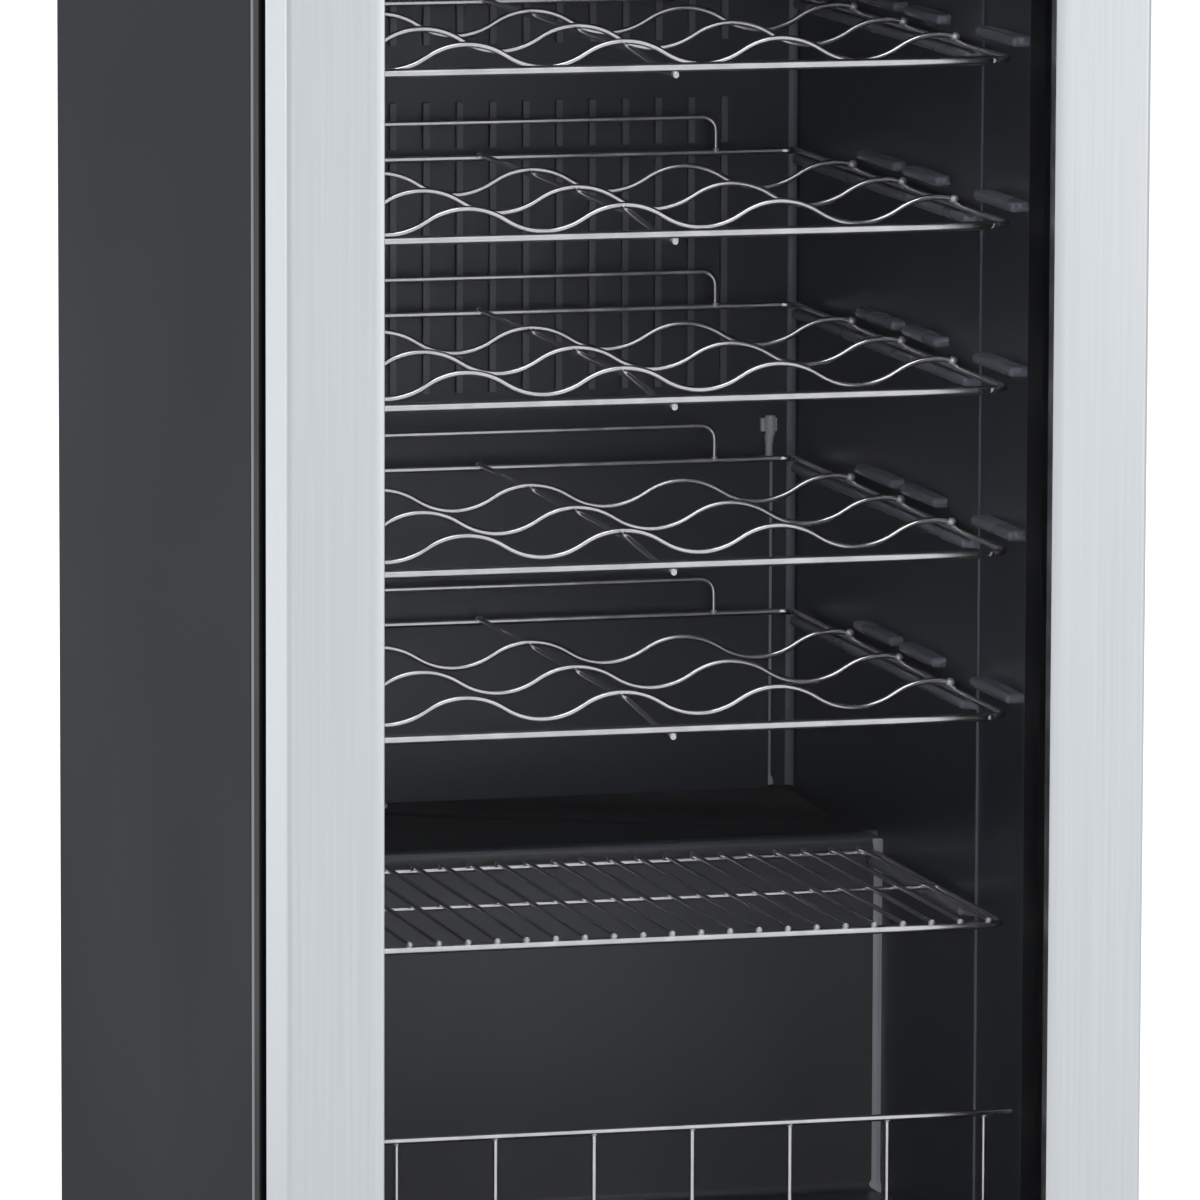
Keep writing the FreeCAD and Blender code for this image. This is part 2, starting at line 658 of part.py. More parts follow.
def door_inner_frame():
    outer_y, inner_y = glass_planes()
    front = DOOR_FRONT + DOOR_SKIN
    body = frame_ring((HALF - DOOR_SKIN, DOOR_BOTTOM + DOOR_SKIN, DOOR_TOP - DOOR_SKIN),
                      (OPEN_X, OPEN_BOTTOM, OPEN_TOP), front, DOOR_BACK)
    size = glass_box(-REBATE_PLAY)
    pocket = block(-size[0], size[0], front - 1, inner_y + GLASS_THICKNESS + SLIDE_GAP, size[1], size[2])
    return body.cut([pocket, grip_zone(GRIP_WALL)] + bush_pockets())


def glass_pane(y):
    size = glass_box(0)
    return block(-size[0], size[0], y, y + GLASS_THICKNESS, size[1], size[2])


def glass_spacer():
    outer_y, inner_y = glass_planes()
    return frame_ring(glass_box(0), glass_box(SPACER_WIDTH), outer_y + GLASS_THICKNESS, inner_y)


def door_gasket():
    inset = GASKET_INSET
    outer = (HALF - inset, DOOR_BOTTOM + inset, DOOR_TOP - inset)
    inset = GASKET_INSET + GASKET_WIDTH
    inner = (HALF - inset, DOOR_BOTTOM + inset, DOOR_TOP - inset)
    return frame_ring(outer, inner, DOOR_BACK, CABINET_FRONT - GASKET_SQUEEZE)


def door_grip():
    cup = grip_zone(GRIP_WALL).cut(grip_zone(0))
    inside = block(-HALF + DOOR_SKIN, 0, DOOR_FRONT, DOOR_BACK, DOOR_BOTTOM, DOOR_TOP)
    return cup.common(inside)


def hinge_bush(mouth, inwards):
    """A flanged bush. mouth is the door's face in z, and inwards is +1 up into the door or -1 down."""
    axis = V(0, 0, inwards)
    flange = Part.makeCylinder(BUSH_FLANGE, BUSH_FLANGE_THICKNESS, V(HINGE_X, HINGE_Y, mouth), axis * -1)
    sleeve = Part.makeCylinder(BUSH_RADIUS, PIN_REACH + 2, V(HINGE_X, HINGE_Y, mouth), axis)
    bore = Part.makeCylinder(PIN_RADIUS + RUNNING_CLEARANCE, PIN_REACH + BUSH_FLANGE_THICKNESS + 1,
                             V(HINGE_X, HINGE_Y, mouth - inwards * BUSH_FLANGE_THICKNESS), axis)
    return flange.fuse(sleeve).cut(bore)


def hinge_bushes():
    return Part.makeCompound([hinge_bush(DOOR_BOTTOM, 1), hinge_bush(DOOR_TOP, -1)])


# ---- hinge brackets ------------------------------------------------------------------------------
def top_screw_places():
    x = HALF - BRACKET_INSET - BRACKET_WIDTH / 2
    return [V(x, TRIM_BACK + along, CABINET_TOP + HINGE_PLATE) for along in TOP_SCREWS]


def bottom_screw_places():
    z = (FOOT_HEIGHT + BOTTOM_PLATE_Z) / 2
    y = CABINET_FRONT - HINGE_PLATE
    return [V(HALF - inset, y, z) for inset in BOTTOM_SCREWS]


def top_hinge_bracket():
    edge = HALF - BRACKET_INSET
    plate = block(edge - BRACKET_WIDTH, edge, HINGE_Y - BRACKET_NOSE, TRIM_BACK + TOP_PLATE_BACK,
                  CABINET_TOP, CABINET_TOP + HINGE_PLATE)
    pin = Part.makeCylinder(PIN_RADIUS, PIN_REACH + DOOR_TOP_GAP, V(HINGE_X, HINGE_Y, DOOR_TOP - PIN_REACH))
    return plate.fuse(pin).removeSplitter()


def bottom_hinge_bracket():
    edge = HALF - BRACKET_INSET
    left = edge - BOTTOM_PLATE_WIDTH
    plate = block(left, edge, HINGE_Y - BRACKET_NOSE, CABINET_FRONT, BOTTOM_PLATE_Z, BOTTOM_PLATE_TOP)
    leg = block(left, edge, CABINET_FRONT - HINGE_PLATE, CABINET_FRONT, FOOT_HEIGHT, BOTTOM_PLATE_Z)
    pin = Part.makeCylinder(PIN_RADIUS, PIN_REACH + DOOR_BOTTOM_GAP, V(HINGE_X, HINGE_Y, BOTTOM_PLATE_TOP))
    return fuse([plate, leg, pin]).removeSplitter()


def screws():
    """Pan-head screws of the hinge brackets and the back panel."""
    return Part.makeCompound(hinge_screws() + back_panel_screws())


def hinge_screws():
    screws = []
    for place in top_screw_places():
        screws.append(Part.makeCylinder(SCREW_HEAD_RADIUS, SCREW_HEAD_HEIGHT, place))
    for place in bottom_screw_places():
        screws.append(Part.makeCylinder(SCREW_HEAD_RADIUS, SCREW_HEAD_HEIGHT, place, V(0, -1, 0)))
    return screws


def hinge_cover():
    low = CABINET_TOP + HINGE_PLATE
    inner_side = HALF - BRACKET_INSET - BRACKET_WIDTH
    front = HINGE_Y - BRACKET_NOSE
    back = TRIM_BACK + TOP_PLATE_BACK
    play = COVER_PLAY
    outside = block(inner_side - 1, HALF, front - 1, back + 1, CABINET_TOP, HEIGHT)
    outside = outside.makeFillet(COVER_FILLET, [e for e in outside.Edges if is_top_edge(e)])
    plate_room = block(inner_side - play, HALF - BRACKET_INSET + play, front - play, back + play,
                       CABINET_TOP - 1, low + play)
    hollow = block(inner_side - 1 + COVER_WALL, HALF - COVER_WALL, front - 1 + COVER_WALL,
                   back + 1 - COVER_WALL,
                   low, HEIGHT - COVER_WALL)
    return outside.cut([plate_room, hollow])


def is_top_edge(edge):
    return all(abs(v.Z - HEIGHT) < 0.01 for v in edge.Vertexes)


# ---- racks ---------------------------------------------------------------------------------------
def rack_levels():
    """Heights of the front rails, from the top rack down."""
    return [LOWEST_RACK_Z + RACK_PITCH * i for i in reversed(range(RACK_COUNT))]


def wave_edges(y, level):
    """Alternating arcs across the rack, a crest at the middle and at every pitch from it."""
    half = CREST_PITCH / 4
    middle = level + WAVE_CREST - WAVE_AMPLITUDE
    last = CRESTS_PER_SIDE * CREST_PITCH
    bend_z = level + WAVE_CREST - WAVE_BEND

    def on_last_crest(side, offset):
        return V(side * (last + offset), y, bend_z + math.sqrt(WAVE_BEND ** 2 - offset ** 2))

    left_crest = on_last_crest(-1, 0)
    right_crest = on_last_crest(1, 0)
    edges = [Part.Arc(on_last_crest(-1, WAVE_END_INSET), left_crest, V(-last + half, y, middle)).toShape()]
    for i in range(4 * CRESTS_PER_SIDE - 1):
        centre = -last + 2 * half * (i + 1)
        swing = WAVE_AMPLITUDE if i % 2 else -WAVE_AMPLITUDE
        start = V(centre - half, y, middle)
        end = V(centre + half, y, middle)
        edges.append(Part.Arc(start, V(centre, y, middle + swing), end).toShape())
    edges.append(Part.Arc(V(last - half, y, middle), right_crest, on_last_crest(1,
                                                                                WAVE_END_INSET)).toShape())
    return edges


def outer_loop(z, radius, rear, inset):
    """Side rails and rear rail in one bent wire whose front ends turn in behind the front rail."""
    points = [(-RACK_X + inset, RACK_FRONT, z), (-RACK_X, RACK_FRONT, z), (-RACK_X, rear, z),
              (RACK_X, rear, z), (RACK_X, RACK_FRONT, z), (RACK_X - inset, RACK_FRONT, z)]
    return bent_rod(points, LOOP_BEND, radius)


def wine_rack(level):
    loop_z = level + LOOP_LIFT
    rail_end = RACK_X - RAIL_END_GAP
    wires = [rod((-rail_end, RACK_FRONT, level), (rail_end, RACK_FRONT, level), FRONT_RAIL_RADIUS)]
    wires.append(outer_loop(loop_z, LOOP_RADIUS, RACK_REAR, LOOP_END))
    for i in range(WAVE_COUNT):
        wires.append(sweep(wave_edges(RACK_FRONT + WAVE_FIRST + WAVE_SPACING * i, level), WAVE_RADIUS))
    support_z = level + WAVE_CREST - 2 * WAVE_RADIUS + WELD
    under_rail = level - FRONT_RAIL_RADIUS - WAVE_RADIUS + WELD
    first = RACK_FRONT + WAVE_FIRST
    support = [(0, RACK_REAR + WIRE_OVERLAP, support_z), (0, first - SUPPORT_DROP, support_z),
               (0, RACK_FRONT + SUPPORT_FRONT, under_rail), (0, RACK_FRONT - WIRE_OVERLAP, under_rail)]
    wires.append(bent_rod(support, SUPPORT_BEND, WAVE_RADIUS))
    top = level + STOP_HEIGHT
    stop = [(-STOP_HALF_WIDTH, RACK_REAR, loop_z), (-STOP_HALF_WIDTH, RACK_REAR, top),
            (STOP_HALF_WIDTH, RACK_REAR, top), (STOP_HALF_WIDTH, RACK_REAR, loop_z)]
    wires.append(bent_rod(stop, STOP_BEND, WAVE_RADIUS))
    return fuse(wires)


def flat_shelf():
    rear = HUMP_FRONT - SHELF_HUMP_GAP
    rail_end = RACK_X - RAIL_END_GAP
    wires = [outer_loop(SHELF_Z, LOOP_RADIUS, rear, LOOP_END)]
    wires.append(rod((-rail_end, RACK_FRONT, SHELF_Z), (rail_end, RACK_FRONT, SHELF_Z), SHELF_RAIL_RADIUS))
    middle = (RACK_FRONT + rear) / 2
    cross_z = SHELF_Z + LOOP_RADIUS - SLAT_RADIUS
    wires.append(rod((-RACK_X, middle, cross_z), (RACK_X, middle, cross_z), SLAT_RADIUS))
    slat_z = SHELF_Z + LOOP_RADIUS + SLAT_RADIUS - WELD
    for i in range(SLAT_COUNT):
        x = (i - (SLAT_COUNT - 1) / 2) * SLAT_PITCH
        wires.append(rod((x, RACK_FRONT - WIRE_OVERLAP, slat_z), (x, rear + WIRE_OVERLAP, slat_z),
                         SLAT_RADIUS))
    return fuse(wires)


def bottle_fence():
    """Wire fence across the cavity floor that keeps the bottom bottles in."""
    top = LINER_FLOOR + FENCE_HEIGHT
    wires = [rod((-LINER_X + 1, RACK_FRONT, top), (LINER_X - 1, RACK_FRONT, top), FENCE_RADIUS)]
    low = LINER_FLOOR + FENCE_BAR_RADIUS + SLIDE_GAP
    places = [FENCE_RIGHT_BAR - FENCE_PITCH * i for i in range(FENCE_BARS)] + [-FENCE_RIGHT_BAR]
    for x in places:
        wires.append(rod((x, RACK_FRONT, low), (x, RACK_FRONT, top), FENCE_BAR_RADIUS))
    end = FENCE_RIGHT_BAR + FENCE_FOOT_OVERHANG
    wires.append(rod((-end, RACK_FRONT, low), (end, RACK_FRONT, low), FENCE_BAR_RADIUS))
    return fuse(wires)


# ---- air side ------------------------------------------------------------------------------------
def air_duct_cover():
    front = LINER_BACK - DUCT_DEPTH
    cover = block(-DUCT_HALF_WIDTH, DUCT_HALF_WIDTH, front + RIB_PROUD, LINER_BACK, DUCT_BOTTOM, DUCT_TOP)
    hollow = block(-DUCT_HALF_WIDTH + DUCT_SKIN, DUCT_HALF_WIDTH - DUCT_SKIN, front + RIB_PROUD + DUCT_SKIN,
                   LINER_BACK + 1, DUCT_BOTTOM + DUCT_SKIN, DUCT_TOP - DUCT_SKIN)
    ribs = []
    for start, end in RIB_BANDS:
        low = DUCT_TOP - start
        high = DUCT_TOP - end
        for i in range(RIB_COUNT):
            x = -RIB_HALF_SPAN + 2 * RIB_HALF_SPAN * i / (RIB_COUNT - 1)
            ribs.append(block(x - RIB_WIDTH / 2, x + RIB_WIDTH / 2, front, front + RIB_PROUD + 0.5, low,
                              high))
    return cover.cut(hollow).multiFuse(ribs).removeSplitter()


def fan_housing():
    front = LINER_BACK - FAN_HOUSING_DEPTH
    half = FAN_HOUSING_HALF
    outside = block(-half, half, front, LINER_BACK, FAN_Z - half, FAN_Z + half)
    outside = outside.makeFillet(HOUSING_FILLET, [e for e in outside.Edges if is_housing_corner(e)])
    inner = half - HOUSING_SKIN
    inside = block(-inner, inner, front + HOUSING_SKIN, LINER_BACK + 1, FAN_Z - inner, FAN_Z + inner)
    slots = []
    for i in range(GRILLE_SLOTS):
        slot = block(-GRILLE_SLOT_HALF, GRILLE_SLOT_HALF, front - 1, front + HOUSING_SKIN + 1,
                     FAN_HUB_RADIUS + 2, FAN_RADIUS - 1)
        slot.rotate(V(0, 0, 0), V(0, 1, 0), 360.0 * i / GRILLE_SLOTS)
        slot.translate(V(0, 0, FAN_Z))
        slots.append(slot)
    return outside.cut([inside] + slots)


def is_housing_corner(edge):
    first, last = edge.Vertexes[0].Point, edge.Vertexes[-1].Point
    return abs(first.x - last.x) < 0.01 and abs(first.z - last.z) < 0.01


def fan_motor():
    backwards = V(0, 1, 0)
    body_start = V(0, LINER_BACK - MOTOR_DEPTH, FAN_Z)
    body = Part.makeCylinder(FAN_HUB_RADIUS + 3, MOTOR_DEPTH, body_start, backwards)
    shaft_start = V(0, LINER_BACK - SHAFT_REACH, FAN_Z)
    return body.fuse(Part.makeCylinder(FAN_SHAFT_RADIUS, MOTOR_DEPTH, shaft_start, backwards))


def fan_impeller():
    y = LINER_BACK - IMPELLER_FROM_BACK
    hub = Part.makeCylinder(FAN_HUB_RADIUS, IMPELLER_DEPTH, V(0, y, FAN_Z), V(0, 1, 0))
    blades = []
    for i in range(FAN_BLADES):
        blade = block(-1, 1, -BLADE_HALF, BLADE_HALF, FAN_HUB_RADIUS - 2, FAN_RADIUS - 2)
        blade.rotate(V(0, 0, 0), V(0, 0, 1), BLADE_TWIST)
        blade.rotate(V(0, 0, 0), V(0, 1, 0), 360.0 * i / FAN_BLADES)
        blade.translate(V(0, y + IMPELLER_DEPTH / 2, FAN_Z))
        blades.append(blade)
    bore_front = LINER_BACK - SHAFT_REACH - 2 * WELD
    bore = Part.makeCylinder(FAN_SHAFT_RADIUS + RUNNING_CLEARANCE, IMPELLER_DEPTH, V(0, bore_front, FAN_Z),
                             V(0, 1, 0))
    return hub.multiFuse(blades).cut(bore)


def evaporator():
    """Cold plate on the back of the liner with its tube bonded to it."""
    return evaporator_plate().fuse(evaporator_coil())


def evaporator_plate():
    y = LINER_BACK + LINER_WALL
    return block(-PLATE_HALF_WIDTH, PLATE_HALF_WIDTH, y, y + PLATE_THICKNESS, PLATE_BOTTOM, PLATE_TOP)


def serpentine(half_width, y, bottom, pitch, runs):
    """Corner points of horizontal runs stacked upwards, starting at the bottom right."""
    points = []
    side = 1
    for i in range(runs):
        z = bottom + pitch * i
        points.append((side * half_width, y, z))
        points.append((-side * half_width, y, z))
        side = -side
    return points


def evaporator_coil():
    low = PLATE_BOTTOM + COIL_FROM_BOTTOM
    points = serpentine(COIL_HALF_WIDTH, COIL_Y, low, COIL_PITCH, COIL_RUNS)
    points[0] = (SUCTION_X, COIL_Y, low)
    points.insert(0, (SUCTION_X, COIL_Y, joint_z()))
    top = low + COIL_PITCH * COIL_RUNS - COIL_TOP_DROP
    points[-1] = (-COIL_HALF_WIDTH, COIL_Y, points[-1][2])
    points.append((-COIL_HALF_WIDTH, COIL_Y, top))
    points.append((CAPILLARY_X, COIL_Y, top))
    points.append((CAPILLARY_X, COIL_Y, joint_z()))
    return bent_rod(points, COIL_BEND, COIL_RADIUS)


def temperature_sensor():
    start = V(SENSOR_X, LINER_BACK - SENSOR_STANDOFF, SENSOR_Z - SENSOR_LENGTH / 2)
    body = Part.makeCylinder(SENSOR_RADIUS, SENSOR_LENGTH, start)
    half_width, half_height = SENSOR_CLIP_HALF
    clip = block(SENSOR_X - half_width, SENSOR_X + half_width, LINER_BACK - SENSOR_CLIP_DEPTH, LINER_BACK,
                 SENSOR_Z - half_height, SENSOR_Z + half_height)
    return body.fuse(clip)


# ---- controls ------------------------------------------------------------------------------------
def control_housing():
    back = CONTROL_FRONT + CONTROL_DEPTH
    outside = block(-CONTROL_HALF_WIDTH, CONTROL_HALF_WIDTH, CONTROL_FRONT, back, CONTROL_BOTTOM, LINER_TOP)
    skin = HOUSING_SKIN
    inside = block(-CONTROL_HALF_WIDTH + skin, CONTROL_HALF_WIDTH - skin, CONTROL_FRONT - 1, back - skin,
                   CONTROL_BOTTOM + skin, LINER_TOP - skin)
    lens = block(-LENS_HALF_WIDTH - PART_PLAY, LENS_HALF_WIDTH + PART_PLAY,
                 lens_front() - PART_PLAY, lens_front() + LENS_DEPTH + PART_PLAY,
                 CONTROL_BOTTOM - 1, CONTROL_BOTTOM + skin + 1)
    return outside.cut([inside, lens])


def lens_front():
    return CONTROL_FRONT + LENS_SETBACK


def button_z():
    return CONTROL_BOTTOM + CONTROL_HEIGHT / 2


def control_panel():
    plate = block(-CONTROL_HALF_WIDTH, CONTROL_HALF_WIDTH, CONTROL_FRONT - FASCIA_THICKNESS, CONTROL_FRONT,
                  CONTROL_BOTTOM, LINER_TOP)
    half = DISPLAY_HEIGHT / 2
    cuts = [block(-DISPLAY_HALF_WIDTH, DISPLAY_HALF_WIDTH, CONTROL_FRONT - 2 * FASCIA_THICKNESS,
                  CONTROL_FRONT + 1,
                  button_z() - half, button_z() + half)]
    for x in BUTTON_X:
        cuts.append(Part.makeCylinder(BUTTON_RADIUS + BUTTON_CLEARANCE, 4 * FASCIA_THICKNESS,
                                      V(x, CONTROL_FRONT - 2 * FASCIA_THICKNESS, button_z()), V(0, 1, 0)))
    return plate.cut(cuts)


def display_window():
    half_width = DISPLAY_HALF_WIDTH - WINDOW_PLAY
    half = DISPLAY_HEIGHT / 2 - WINDOW_PLAY
    return block(-half_width, half_width, CONTROL_FRONT - FASCIA_THICKNESS + WINDOW_SUNK,
                 CONTROL_FRONT, button_z() - half, button_z() + half)


def circuit_boards():
    """Control board behind the fascia and light board above the lens."""
    return Part.makeCompound([control_board(), light_board()])


def control_board():
    y = CONTROL_FRONT + BOARD_SETBACK
    board = block(-BOARD_HALF_WIDTH, BOARD_HALF_WIDTH, y, y + BOARD_THICKNESS,
                  CONTROL_BOTTOM + HOUSING_SKIN, LINER_TOP - HOUSING_SKIN)
    switches = []
    for x in BUTTON_X:
        place = V(x, y - SWITCH_LENGTH + WINDOW_PLAY, button_z())
        switches.append(Part.makeCylinder(SWITCH_RADIUS, SWITCH_LENGTH, place, V(0, 1, 0)))
    half_width, half_height = DISPLAY_BOX_HALF
    display = block(-half_width, half_width, CONTROL_FRONT + PART_PLAY, y + WINDOW_PLAY,
                    button_z() - half_height, button_z() + half_height)
    return board.multiFuse(switches + [display])


def push_button(x):
    back = V(0, 1, 0)
    front = CONTROL_FRONT - FASCIA_THICKNESS - BUTTON_PROUD
    cap_length = BUTTON_PROUD + FASCIA_THICKNESS + FLANGE_THICKNESS
    cap = Part.makeCylinder(BUTTON_RADIUS, cap_length, V(x, front, button_z()), back)
    flange_y = CONTROL_FRONT + PART_PLAY
    flange = Part.makeCylinder(BUTTON_FLANGE, FLANGE_THICKNESS, V(x, flange_y, button_z()), back)
    stem = Part.makeCylinder(STEM_RADIUS, STEM_LENGTH, V(x, flange_y + FLANGE_THICKNESS / 2, button_z()),
                             back)
    return fuse([cap, flange, stem])


def light_lens():
    return block(-LENS_HALF_WIDTH, LENS_HALF_WIDTH, lens_front(), lens_front() + LENS_DEPTH,
                 CONTROL_BOTTOM - LENS_THICKNESS / 2, CONTROL_BOTTOM + HOUSING_SKIN)


def light_board():
    z = CONTROL_BOTTOM + HOUSING_SKIN + PART_PLAY
    half = LENS_HALF_WIDTH - LIGHT_BOARD_INSET
    front = lens_front() + (LENS_DEPTH - LIGHT_BOARD_DEPTH) / 2
    low = z + LED_HEIGHT - WINDOW_SUNK
    board = block(-half, half, front, front + LIGHT_BOARD_DEPTH, low, low + BOARD_THICKNESS)
    middle = lens_front() + LENS_DEPTH / 2
    leds = []
    for i in range(LED_COUNT):
        x = (i - (LED_COUNT - 1) / 2) * LED_PITCH
        leds.append(block(x - LED_SIZE / 2, x + LED_SIZE / 2, middle - LED_SIZE / 2, middle + LED_SIZE / 2,
                          z, z + LED_HEIGHT))
    return board.multiFuse(leds)


# ---- machine compartment -------------------------------------------------------------------------
def mount_places():
    places = []
    for dx in (-MOUNT_SPACING_X, MOUNT_SPACING_X):
        for dy in (-MOUNT_SPACING_Y, MOUNT_SPACING_Y):
            places.append((COMPRESSOR_X + dx, COMPRESSOR_Y + dy))
    return places


def upright_ellipse(grow, z, height):
    centre = V(COMPRESSOR_X, COMPRESSOR_Y, z)
    ring = Part.Ellipse(centre, COMPRESSOR_HALF_X + grow, COMPRESSOR_HALF_Y + grow).toShape()
    return Part.Face(Part.Wire([ring])).extrude(V(0, 0, height))


def compressor():
    """Sealed steel pot with its weld seam, on two foot bars."""
    pot = upright_ellipse(0, COMPRESSOR_BASE + MOUNT_BAR, COMPRESSOR_HEIGHT)
    rims = [e for e in pot.Edges if abs(e.BoundBox.ZMin - e.BoundBox.ZMax) < 0.01]
    pot = pot.makeFillet(COMPRESSOR_FILLET, rims)
    seam_z = COMPRESSOR_BASE + MOUNT_BAR + COMPRESSOR_HEIGHT * SEAM_SHARE
    parts = [pot, upright_ellipse(SEAM_PROUD, seam_z, SEAM_HEIGHT)]
    half_length = MOUNT_SPACING_X + FOOT_BAR_OVERHANG
    for dy in (-MOUNT_SPACING_Y, MOUNT_SPACING_Y):
        y = COMPRESSOR_Y + dy
        parts.append(block(COMPRESSOR_X - half_length, COMPRESSOR_X + half_length, y - FOOT_BAR_HALF,
                           y + FOOT_BAR_HALF, COMPRESSOR_BASE, COMPRESSOR_BASE + FOOT_BAR_HEIGHT))
    return fuse(parts)


def compressor_grommets():
    grommets = []
    for x, y in mount_places():
        grommets.append(Part.makeCone(GROMMET_RADIUS, GROMMET_RADIUS - 2, GROMMET_HEIGHT, V(x, y,
                                                                                            BASE_TOP)))
    return Part.makeCompound(grommets)


def terminal_box():
    x = COMPRESSOR_X + COMPRESSOR_HALF_X + TERMINAL_GAP
    low = COMPRESSOR_BASE + TERMINAL_RISE
    lid = block(x, x + TERMINAL_DEPTH, COMPRESSOR_Y - TERMINAL_HALF, COMPRESSOR_Y + TERMINAL_HALF,
                low, low + TERMINAL_HEIGHT)
    return lid.makeFillet(TERMINAL_FILLET,
                          [e for e in lid.Edges if e.BoundBox.XMin > x + TERMINAL_DEPTH - 1])


def evaporation_tray():
    low = COMPRESSOR_TOP + SLIDE_GAP
    x0 = COMPRESSOR_X - TRAY_HALF_WIDTH
    x1 = COMPRESSOR_X + TRAY_HALF_WIDTH
    y0 = BULKHEAD_FRONT + BULKHEAD_SHEET + TRAY_GAP
    y1 = CABINET_BACK - TRAY_GAP
    outside = block(x0, x1, y0, y1, low, low + TRAY_HEIGHT)
    wall = TRAY_WALL
    inside = block(x0 + wall, x1 - wall, y0 + wall, y1 - wall, low + wall, low + 2 * TRAY_HEIGHT)
    return outside.cut(inside)


def drain_tube():
    bottom = COMPRESSOR_TOP + SLIDE_GAP + TRAY_WALL + DRAIN_RISE
    length = HUMP_TOP - bottom
    centre = drain_top(0)
    start = V(centre.x, centre.y, bottom)
    tube = Part.makeCylinder(DRAIN_RADIUS, length, start).cut(Part.makeCylinder(DRAIN_BORE, length, start))
    rim = Part.makeCylinder(DRAIN_RADIUS + DRAIN_RIM, DRAIN_RIM_THICKNESS, centre)
    rim = rim.cut(Part.makeCylinder(DRAIN_BORE, DRAIN_RIM_THICKNESS, centre))
    return tube.fuse(rim).removeSplitter()


def drier_place():
    return V(CONDENSER_HALF_WIDTH + DRIER_OUT, CABINET_BACK - DRIER_FROM_BACK, DRIER_Z)


def filter_drier():
    body = Part.makeCylinder(DRIER_RADIUS, DRIER_LENGTH, drier_place())
    return body.makeFillet(DRIER_FILLET, body.Edges[0:1] + body.Edges[2:3])


def joint_z():
    """Height of the joints between the cold plate's tube and the lines that come up to it."""
    return PLATE_BOTTOM - JOINT_DROP


def capillary_tube():
    start = drier_place()
    low = start.z - CAPILLARY_DROP
    points = [(start.x, start.y, start.z - SLIDE_GAP), (start.x, start.y, low), (CAPILLARY_X, COIL_Y, low),
              (CAPILLARY_X, COIL_Y, joint_z() - SLIDE_GAP)]
    return bent_rod(points, CAPILLARY_BEND, CAPILLARY_RADIUS)


def suction_line():
    low = COMPRESSOR_TOP - SUCTION_DROP
    start = COMPRESSOR_X + COMPRESSOR_HALF_X * 0.72 + SUCTION_STUB
    y = COMPRESSOR_Y + COMPRESSOR_HALF_Y * 0.62
    points = [(start, y, low), (SUCTION_X, y, low), (SUCTION_X, COIL_Y, low + SUCTION_RISE),
              (SUCTION_X, COIL_Y, joint_z() - SLIDE_GAP)]
    return bent_rod(points, SUCTION_BEND, LINE_RADIUS)


def condenser_top():
    return CONDENSER_BOTTOM + CONDENSER_PITCH * (CONDENSER_RUNS - 1)


def condenser_coil():
    points = serpentine(CONDENSER_HALF_WIDTH, CONDENSER_Y, CONDENSER_BOTTOM, CONDENSER_PITCH,
                        CONDENSER_RUNS)
    drier = drier_place()
    side = drier.x
    points[0] = (side, CONDENSER_Y, CONDENSER_BOTTOM)
    high = drier.z + DRIER_LENGTH + SLIDE_GAP
    bend_z = high + CONDENSER_TAIL
    tail = [(side, drier.y, high), (side, drier.y, bend_z), (side, CONDENSER_Y, bend_z)]
    return bent_rod(tail + points, CONDENSER_BEND, CONDENSER_RADIUS)


def condenser_wires():
    wires = []
    count = int(CONDENSER_HALF_WIDTH * 2 // WIRE_PITCH) - 1
    y = CONDENSER_Y + CONDENSER_RADIUS + WIRE_RADIUS + WIRE_CLEARANCE
    low = CONDENSER_BOTTOM - WIRE_OVERHANG
    high = condenser_top() + WIRE_OVERHANG
    for i in range(count):
        x = (i - (count - 1) / 2) * WIRE_PITCH
        wires.append(rod((x, y, low), (x, y, high), WIRE_RADIUS))
    return Part.makeCompound(wires)


def condenser_brackets():
    brackets = []
    out = CONDENSER_HALF_WIDTH - CLIP_FROM_SIDE
    back = CONDENSER_Y - CONDENSER_RADIUS - CLIP_CLEARANCE
    for x in (-out, out):
        for z in (CONDENSER_BOTTOM + CONDENSER_PITCH, condenser_top() - CONDENSER_PITCH):
            brackets.append(block(x - CLIP_HALF_WIDTH, x + CLIP_HALF_WIDTH, CABINET_BACK, back,
                                  z - CLIP_HALF_HEIGHT, z + CLIP_HALF_HEIGHT))
    return Part.makeCompound(brackets)


def discharge_line():
    x = -CONDENSER_HALF_WIDTH - DISCHARGE_OUT
    top = condenser_top()
    start = COMPRESSOR_X - COMPRESSOR_HALF_X - SEAM_PROUD - SLIDE_GAP
    low = COMPRESSOR_BASE + DISCHARGE_Z
    points = [(start, COMPRESSOR_Y, low), (x, COMPRESSOR_Y, low), (x, CONDENSER_Y, low + DISCHARGE_RISE),
              (x, CONDENSER_Y, top), (-CONDENSER_HALF_WIDTH - SLIDE_GAP, CONDENSER_Y, top)]
    return bent_rod(points, CONDENSER_BEND, CONDENSER_RADIUS)


def cord_gland():
    y = CABINET_BACK - GLAND_TAB_INSET
    start = y + GLAND_TAB_INSET - GLAND_SLEEVE
    back = V(0, 1, 0)
    sleeve = Part.makeCylinder(GLAND_RADIUS, GLAND_SLEEVE, V(GLAND_X, start, GLAND_Z), back)
    flange = Part.makeCylinder(GLAND_FLANGE, GLAND_FLANGE_THICKNESS, V(GLAND_X, y + BASE_SHEET, GLAND_Z),
                               back)
    bore = Part.makeCylinder(GLAND_BORE, 2 * GLAND_SLEEVE, V(GLAND_X, start - 1, GLAND_Z), back)
    return sleeve.fuse(flange).cut(bore).removeSplitter()


